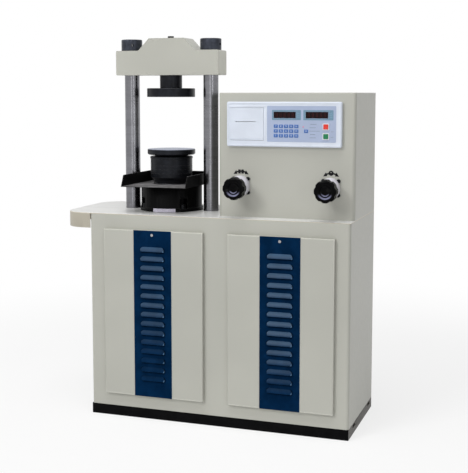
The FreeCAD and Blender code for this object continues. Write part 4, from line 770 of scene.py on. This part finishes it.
class TESTER_OT_keypad(bpy.types.Operator):
    """Blue key caps with plain figures, over the embossed keys"""
    bl_idname = "tester.keypad"
    bl_label = "Keys"

    def execute(self, context):
        face = overlay_face()
        places = [(KEY_FIRST[0] + column * KEY_PITCH[0], KEY_FIRST[1] + row * KEY_PITCH[1])
                  for row in range(3) for column in range(5)]
        places = [bezel_point(*place) for place in places + [LONE_KEY]]
        keys = Shape()
        for x, z in places:
            keys.slab(centred(x, z, KEY_HALF_W, KEY_HALF_H, 1.2 * MM), front_of(face), 0.72 * MM,
                      soften=0.25 * MM)
        keys.piece("keypad_keys", "key", "machine")
        marks = Shape()
        plane = front_of(face - KEY_PRINT)
        for (x, z), sign in zip(places, KEY_SIGNS):
            if sign == " ":
                for side in (-1, 1):
                    marks.slab(centred(x, z + side * 1.3 * MM, 3.0 * MM, 0.35 * MM), plane, 0.06 * MM)
            else:
                self.figure(marks, sign, x, z, plane)
        marks.piece("keypad_figures", "mark_pale", "machine")
        return {"FINISHED"}

    @staticmethod
    def figure(shape, text, x, z, placement):
        """One figure from the built-in typeface, as a thin raised print."""
        curve = bpy.data.curves.new("figure", "FONT")
        curve.body = text
        curve.size = 8.0 * MM
        curve.align_x = "CENTER"
        curve.align_y = "CENTER"
        curve.extrude = 0.03 * MM
        curve.resolution_u = 3
        text_obj = bpy.data.objects.new("figure", curve)
        link(text_obj)
        depsgraph = bpy.context.evaluated_depsgraph_get()
        mesh = bpy.data.meshes.new_from_object(text_obj.evaluated_get(depsgraph))
        mesh.transform(placement @ Matrix.Translation((x, z, curve.extrude)))
        shape.bm.from_mesh(mesh)
        bpy.data.meshes.remove(mesh)
        bpy.data.objects.remove(text_obj)
        bpy.data.curves.remove(curve)


# Left and right edges of each display's surround, and the left edge of its window.
DISPLAYS = ((147.5, 239.5, 153.0), (247.5, 341.5, 255.0))
SURROUND_TOP = 25.2
SURROUND_FOOT = 56.0
SURROUND_T = 0.25 * MM
WINDOW_TOP = 30.1
WINDOW_FOOT = 51.0
WINDOW_W = 70.0
WINDOW_GAP = 0.7
STRIP_FIRST = 35.0
STRIP_PITCH = 5.6
DIGIT_FIRST = 9.5
DIGIT_PITCH = 12.75

# Ends of the seven bars of a figure, in millimetres from its middle, and half a bar's thickness.
SEGMENTS = ((-1.9, 5.3, 1.9, 5.3), (2.4, 0.4, 2.4, 4.9), (2.4, -4.9, 2.4, -0.4), (-1.9, -5.3, 1.9, -5.3),
            (-2.4, -4.9, -2.4, -0.4), (-2.4, 0.4, -2.4, 4.9), (-1.9, 0.0, 1.9, 0.0))
SEGMENT_HALF = 0.55


class TESTER_OT_displays(bpy.types.Operator):
    """Printed surrounds, unlit figures and indicator strips of the two displays"""
    bl_idname = "tester.displays"
    bl_label = "Displays"

    def execute(self, context):
        face = overlay_face()
        surround = Shape()
        strips = Shape()
        for start, end, window in DISPLAYS:
            hole = bezel_patch(window - WINDOW_GAP, WINDOW_TOP, window + WINDOW_W + WINDOW_GAP, WINDOW_FOOT)
            outline = bezel_patch(start, SURROUND_TOP, end, SURROUND_FOOT, 1.5)
            surround.slab(outline, front_of(face), SURROUND_T, hole)
            for k in range(3):
                top = STRIP_FIRST + k * STRIP_PITCH
                strip = bezel_patch(end - 12.5, top, end - 4.5, top + 1.6)
                strips.slab(strip, front_of(face - SURROUND_T), 0.1 * MM)
        surround.piece("display_surrounds", "surround", "machine")
        strips.piece("display_strips", "strip", "machine")
        digits = Shape()
        low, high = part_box("display_windows")
        z = (low.z + high.z) / 2
        t = SEGMENT_HALF
        for left in (low.x, high.x - WINDOW_W * MM):
            for k in range(5):
                x = left + (DIGIT_FIRST + DIGIT_PITCH * k) * MM
                for u0, v0, u1, v1 in SEGMENTS:
                    bar = rectangle(x + (u0 - t) * MM, x + (u1 + t) * MM,
                                    z + (v0 - t) * MM, z + (v1 + t) * MM, 0.4 * MM, 2)
                    digits.slab(bar, front_of(low.y), 0.04 * MM)
        digits.piece("display_figures", "segment", "machine")
        return {"FINISHED"}


FRAME_HALF = 10.2 * MM
FRAME_HOLE = 7.85 * MM

# Left and right ends of the printed lines beside the buttons, from the top line down.
LINE_ENDS = ((269.0, 289.0), (267.0, 287.0), (266.0, 300.0), (269.0, 285.0), (267.0, 287.0))
LINE_FIRST = 68.0
LINE_PITCH = 10.2
INDICATOR = (247.4, 76.5)


class TESTER_OT_panel_marks(bpy.types.Operator):
    """Square frames round the push-buttons, indicator lamp and plain printed lines beside them"""
    bl_idname = "tester.panel_marks"
    bl_label = "Panel marks"

    def execute(self, context):
        plane = front_of(overlay_face())
        frames = Shape()
        for node in ("red_button", "green_button"):
            x, z = middle(node)
            hole = centred(x, z, FRAME_HOLE, FRAME_HOLE, 1.6 * MM)
            frames.slab(centred(x, z, FRAME_HALF, FRAME_HALF, 2.2 * MM), plane, 1.8 * MM, hole, 0.5 * MM)
        frames.piece("button_frames", "white", "machine")
        lines = Shape()
        depth = sizes().print_depth
        for row, (start, end) in enumerate(LINE_ENDS):
            top = LINE_FIRST + row * LINE_PITCH
            lines.slab(bezel_patch(start, top, end, top + 1.1), plane, depth)
        for top in (90.0, 106.5):
            lines.slab(bezel_patch(334.0, top, 342.0, top + 1.0), plane, depth)
        lines.piece("panel_lines", "mark_grey", "machine")
        lamp = Shape()
        profile = [(0.0, 1.3 * MM), (1.2 * MM, 1.2 * MM), (2.2 * MM, 0.7 * MM), (2.6 * MM, 0.0), (0.0, 0.0)]
        lamp.turning(profile, at(plane, *bezel_point(*INDICATOR)), 24)
        lamp.piece("indicator_lamp", "lamp", "machine")
        return {"FINISHED"}


class TESTER_OT_bezel_rims(bpy.types.Operator):
    """Raised rim round the controller and the lip round the printer's opening"""
    bl_idname = "tester.bezel_rims"
    bl_label = "Controller rims"

    def execute(self, context):
        low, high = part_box("controller_bezel")
        width = (high.x - low.x) / MM
        height = (high.z - low.z) / MM
        outer = 2.2
        inner = 6.6
        plane = front_of(low.y)
        hole = bezel_patch(inner, inner, width - inner, height - inner, 3.0)
        rims = Shape()
        rims.slab(bezel_patch(outer, outer, width - outer, height - outer, 5.0), plane, 0.9 * MM, hole,
                  0.6 * MM)
        for lip in ((8.4, 10.0, 128.5, 17.6), (122.2, 18.2, 128.5, 121.5)):
            rims.slab(bezel_patch(*lip, 1.5), plane, 0.6 * MM, soften=0.4 * MM)
        rims.piece("bezel_rims", "bezel", "machine")
        return {"FINISHED"}


def valve_axes():
    """Axis and tower face of both valves: (x, z, y of the face)."""
    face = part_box("tower_shell")[0].y
    return [(*middle(node), face) for node in ("delivery_handwheel", "return_handwheel")]


# Marks over a valve: rise above its axis, half the band's width and angle, and the arrows' angles.
DIAL_RISE = 8.0 * MM
BAND_HALF = 2.4 * MM
BAND_ANGLE = 28.0
BAND_STEPS = 20
ARROW_TIP = 38.0
ARROW_HEEL = 20.0
ARROW_HALF = 6.5 * MM


class TESTER_OT_dial_marks(bpy.types.Operator):
    """Arcs of arrows printed over both valves"""
    bl_idname = "tester.dial_marks"
    bl_label = "Dial marks"

    def execute(self, context):
        marks = Shape()
        radius = sizes().mark_r
        depth = sizes().print_depth
        for index, (x, z, y) in enumerate(valve_axes()):
            plane = front_of(y)
            z += DIAL_RISE
            top = z + radius
            band = arc(x, z, radius + BAND_HALF, 90 - BAND_ANGLE, 90 + BAND_ANGLE, BAND_STEPS)
            band += arc(x, z, radius - BAND_HALF, 90 + BAND_ANGLE, 90 - BAND_ANGLE, BAND_STEPS)
            marks.slab(band, plane, depth)
            for turn in (-1, 1):
                tip = math.radians(90.0 + turn * ARROW_TIP)
                heel = math.radians(90.0 + turn * ARROW_HEEL)
                points = [(x + radius * math.cos(tip), z + (radius - 1.0 * MM) * math.sin(tip))]
                for r in (radius + ARROW_HALF, radius - ARROW_HALF):
                    points.append((x + r * math.cos(heel), z + r * math.sin(heel)))
                marks.slab(points if turn > 0 else points[::-1], plane, depth)
            if index == 0:
                for side in (-1, 1):
                    cx = x + side * 5.2 * MM
                    hole = centred(cx, top, 1.2 * MM, 1.6 * MM)
                    block = rectangle(cx - 4.2 * MM, cx + 4.2 * MM, top - 7.5 * MM, top + 5.5 * MM, 0.8 * MM)
                    marks.slab(block, plane, depth, hole)
            else:
                hole = circle(x, top + 1.0 * MM, 2.9 * MM)
                marks.slab(circle(x, top + 1.0 * MM, 8.0 * MM), plane, depth, hole)
        marks.piece("dial_marks", "mark_black", "machine")
        return {"FINISHED"}


def cap_screw(shape, placement, diameter, height):
    """Socket cap screw head with a hexagon recess."""
    r = diameter / 2
    hexagon = r * 0.52
    profile = [(0.0, height * 0.45), (hexagon, height * 0.45), (hexagon, height),
               (r - 0.12 * diameter, height), (r, height - 0.1 * diameter), (r, 0.0), (0.0, 0.0)]
    shape.turning(profile, placement, 36, flats=(1, 2))


def dome_screw(shape, placement, diameter):
    """Low domed head with a round pit in its middle."""
    r = diameter / 2
    profile = [(0.0, r * 0.25), (r * 0.28, r * 0.3), (r * 0.32, r * 0.62), (r * 0.7, r * 0.48),
               (r * 0.95, r * 0.2), (r, 0.0), (0.0, 0.0)]
    shape.turning(profile, placement, 24)


# Places of a valve's screws from its axis.
SCREW_ACROSS = (-24.0 * MM, 24.0 * MM)
SCREW_UP = (-17.8 * MM, 26.2 * MM)


class TESTER_OT_valve_screws(bpy.types.Operator):
    """Four socket screws round each valve's bonnet"""
    bl_idname = "tester.valve_screws"
    bl_label = "Valve screws"

    def execute(self, context):
        screws = Shape()
        for x, z, y in valve_axes():
            for u in SCREW_ACROSS:
                for v in SCREW_UP:
                    cap_screw(screws, at(front_of(y), x + u, z + v), sizes().screw_d, 6.0 * MM)
        screws.piece("valve_screws", "screw_black", "machine")
        return {"FINISHED"}


COLLAR_BORE = 17.0 * MM
COLLAR_DEPTH = 22.0 * MM
COLLAR_LEFT = 1.0 * MM
COLLAR_RISE = 7.0 * MM


class TESTER_OT_valve_collars(bpy.types.Operator):
    """Pale round collars on the tower behind the handwheels"""
    bl_idname = "tester.valve_collars"
    bl_label = "Valve collars"

    def execute(self, context):
        r = sizes().collar_d / 2
        profile = [(COLLAR_BORE, 0.0), (r, 0.0), (r, 16.5 * MM), (r - 1.2 * MM, 20.3 * MM),
                   (r - 4.5 * MM, COLLAR_DEPTH), (COLLAR_BORE, COLLAR_DEPTH), (COLLAR_BORE, 0.0)]
        collars = Shape()
        for x, z, y in valve_axes():
            collars.turning(profile, at(front_of(y), x - COLLAR_LEFT, z + COLLAR_RISE), 48)
        collars.piece("valve_collars", "collar", "machine", smooth=50.0)
        return {"FINISHED"}


class TESTER_OT_cover_screws(bpy.types.Operator):
    """Domed screws round the rear covers"""
    bl_idname = "tester.cover_screws"
    bl_label = "Cover screws"

    def execute(self, context):
        screws = Shape()
        inset = 11.0 * MM
        diameter = sizes().cover_screw_d
        for node, across, up in (("cabinet_rear_cover", 5, 4), ("tower_rear_cover", 3, 3)):
            low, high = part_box(node)
            plane = back_of(high.y)
            for i in range(across):
                x = low.x + inset + (high.x - low.x - 2 * inset) * i / (across - 1)
                for z in (low.z + inset, high.z - inset):
                    dome_screw(screws, at(plane, x, z), diameter)
            for k in range(1, up - 1):
                z = low.z + inset + (high.z - low.z - 2 * inset) * k / (up - 1)
                for x in (low.x + inset, high.x - inset):
                    dome_screw(screws, at(plane, x, z), diameter)
        screws.piece("cover_screws", "bright", "machine")
        return {"FINISHED"}


# Plate on the cylinder's foot: height, thickness, and the angle that its middle faces, in degrees.
PLATE_H = 11.0 * MM
PLATE_T = 0.8 * MM
PLATE_FACES = -82.0
PLATE_STEPS = 24

# Middle of the rear plate from the upper corner of its cover, half its size, and its rivets.
REAR_INSET = (0.16, 0.12)
REAR_HALF = (50.0 * MM, 30.0 * MM)
RIVETS = [(u * MM, v * MM) for u in (-44.0, 44.0) for v in (-24.0, 24.0)]


class TESTER_OT_bare_plates(bpy.types.Operator):
    """Bare plate wrapped on the cylinder's foot and a riveted bare plate on the rear cover"""
    bl_idname = "tester.bare_plates"
    bl_label = "Bare plates"

    def execute(self, context):
        low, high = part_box("cylinder_body")
        cx = (low.x + high.x) / 2
        cy = (low.y + high.y) / 2
        r = (high.x - low.x) / 2
        z0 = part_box("table_top")[1].z + 0.8 * MM
        shape = Shape()
        half = math.degrees(sizes().plate_w / 2 / r)
        inner = r + 0.05 * MM
        outer = r + PLATE_T
        rows = []
        for radius, z in ((inner, z0), (outer, z0), (outer, z0 + PLATE_H), (inner, z0 + PLATE_H)):
            points = arc(cx, cy, radius, PLATE_FACES - half, PLATE_FACES + half, PLATE_STEPS)
            rows.append([shape.bm.verts.new((*point, z)) for point in points])
        for k in range(4):
            a = rows[k]
            b = rows[(k + 1) % 4]
            for i in range(PLATE_STEPS):
                shape.bm.faces.new((a[i], a[i + 1], b[i + 1], b[i]))
        for i in (0, -1):
            shape.bm.faces.new([row[i] for row in rows])
        shape.piece("cylinder_plate", "plate", "machine")
        low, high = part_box("cabinet_rear_cover")
        x = low.x + REAR_INSET[0]
        z = high.z - REAR_INSET[1]
        plate = Shape()
        plate.slab(centred(x, z, *REAR_HALF, 3.0 * MM), back_of(high.y), PLATE_T, soften=0.2 * MM)
        rivet_plane = back_of(high.y + 0.7 * MM)
        for u, v in RIVETS:
            dome_screw(plate, at(rivet_plane, x + u, z + v), 3.5 * MM)
        plate.piece("rear_plate", "bright", "machine")
        return {"FINISHED"}


# Name, place, aim, width and height of each lamp.
LAMPS = (
    ("key", (-3.4, -6.6, 5.2), (0.0, 0.0, 0.6), 3.4, 3.0),
    ("top", (0.0, -1.6, 6.5), (0.0, 0.0, 0.7), 4.0, 3.4),
    ("fill", (4.0, -4.0, 1.4), (0.0, 0.0, 0.6), 0.5, 1.6),
    ("gloss", (0.68, -4.94, 1.0), (-0.1, 0.0, 1.0), 1.0, 3.0),
)
CAMERA_PLACE = (1.0595, -3.0969, 1.0536)
CAMERA_TURN = (math.pi / 2 - 0.1033, 0.0, 0.3289)
CAMERA_LENS = 75.90
CAMERA_SHIFT = -0.0799

# Backdrop share of the floor: least near the machine, and full farther off.
GLOW_LEAST = 0.74
GLOW_NEAR = 0.9
GLOW_FAR = 2.6


class TESTER_OT_studio(bpy.types.Operator):
    """Pale floor, soft lamps, even surroundings and the camera"""
    bl_idname = "tester.studio"
    bl_label = "Studio"

    def execute(self, context):
        scene = context.scene
        studio = scene.tester_studio
        self.floor()
        self.surroundings(scene, studio.world)
        for name, place, aim, width, height in LAMPS:
            lamp = self.lamp(name + "_lamp", place, aim, getattr(studio, name), width, height)
            lamp.visible_diffuse = name != "gloss"
        camera = bpy.data.cameras.new("camera")
        camera.sensor_fit = "VERTICAL"
        camera.sensor_height = 36.0
        camera.lens = CAMERA_LENS
        camera.shift_y = CAMERA_SHIFT
        camera.clip_end = 60.0
        view = bpy.data.objects.new("camera", camera)
        view.location = CAMERA_PLACE
        view.rotation_euler = CAMERA_TURN
        link(view)
        scene.camera = view
        scene.view_settings.view_transform = "Standard"
        return {"FINISHED"}

    @staticmethod
    def seen(finish):
        """One for rays that show a backdrop, straight or in gloss, and zero for those that only light."""
        rays = [finish.node("LightPath", output="Is %s Ray" % kind)
                for kind in ("Camera", "Glossy", "Transmission")]
        return (rays[0] + rays[1] + rays[2]).math("MINIMUM", 1.0)

    def floor(self):
        f = new_finish("floor")
        base = f.mix(f.noise(0.8, 2.0), (0.86, 0.86, 0.86), (0.90, 0.90, 0.90))
        matt = f.node("BsdfDiffuse", {"Color": base})
        glow = f.node("Emission", {"Color": (1.0, 1.0, 1.0), "Strength": 1.0})
        away = f.node("VectorMath", {0: f.place}, output="Value", operation="LENGTH")
        share = self.seen(f) * away.spread(GLOW_NEAR, GLOW_FAR, GLOW_LEAST, 1.0)
        mixed = f.node("MixShader", {0: share, 1: matt, 2: glow})
        f.node("OutputMaterial", {"Surface": mixed})
        bm = bmesh.new()
        bmesh.ops.create_circle(bm, cap_ends=True, radius=sizes().floor_r, segments=96)
        floor = new_object(bm, "floor", "floor")
        floor.location.z = CAD_BOX[0][2] - 0.5 * MM

    def surroundings(self, scene, strength):
        scene.world = bpy.data.worlds.new("surroundings")
        f = Finish(scene.world, "Generated")
        even = f.node("Background", {"Color": (1.0, 1.0, 1.0), "Strength": strength})
        white = f.node("Background", {"Color": (1.0, 1.0, 1.0), "Strength": 1.0})
        mixed = f.node("MixShader", {0: self.seen(f), 1: even, 2: white})
        f.node("OutputWorld", {"Surface": mixed})

    @staticmethod
    def lamp(name, place, aim, power, width, height):
        light = bpy.data.lights.new(name, "AREA")
        light.shape = "RECTANGLE"
        light.size = width
        light.size_y = height
        light.energy = power
        obj = bpy.data.objects.new(name, light)
        obj.location = place
        obj.rotation_euler = (Vector(aim) - Vector(place)).to_track_quat("-Z", "Y").to_euler()
        obj.visible_camera = False
        link(obj)
        return obj


OPERATORS = (TESTER_OT_finishes, TESTER_OT_edges, TESTER_OT_keypad, TESTER_OT_displays, TESTER_OT_panel_marks,
             TESTER_OT_bezel_rims, TESTER_OT_dial_marks, TESTER_OT_valve_screws, TESTER_OT_valve_collars,
             TESTER_OT_cover_screws, TESTER_OT_bare_plates, TESTER_OT_studio)


class TESTER_PT_panel(bpy.types.Panel):
    """Steps and settings of the tester's looks"""
    bl_idname = "TESTER_PT_panel"
    bl_label = "Compression tester"
    bl_space_type = "VIEW_3D"
    bl_region_type = "UI"
    bl_category = "Tester"

    def draw(self, context):
        for group in (context.scene.tester_sizes, context.scene.tester_colours, context.scene.tester_studio):
            box = self.layout.box()
            for name in type(group).__annotations__:
                box.prop(group, name)
        for operator in OPERATORS:
            self.layout.operator(operator.bl_idname)


CLASSES = (TesterColours, TesterSizes, TesterStudio, *OPERATORS, TESTER_PT_panel)


def register():
    for cls in CLASSES:
        bpy.utils.register_class(cls)
    bpy.types.Scene.tester_colours = bpy.props.PointerProperty(type=TesterColours)
    bpy.types.Scene.tester_sizes = bpy.props.PointerProperty(type=TesterSizes)
    bpy.types.Scene.tester_studio = bpy.props.PointerProperty(type=TesterStudio)


def unregister():
    del bpy.types.Scene.tester_studio
    del bpy.types.Scene.tester_sizes
    del bpy.types.Scene.tester_colours
    for cls in reversed(CLASSES):
        bpy.utils.unregister_class(cls)


def main():
    register()
    for operator in OPERATORS:
        group, name = operator.bl_idname.split(".")
        getattr(getattr(bpy.ops, group), name)()


if __name__ == "__main__":
    main()
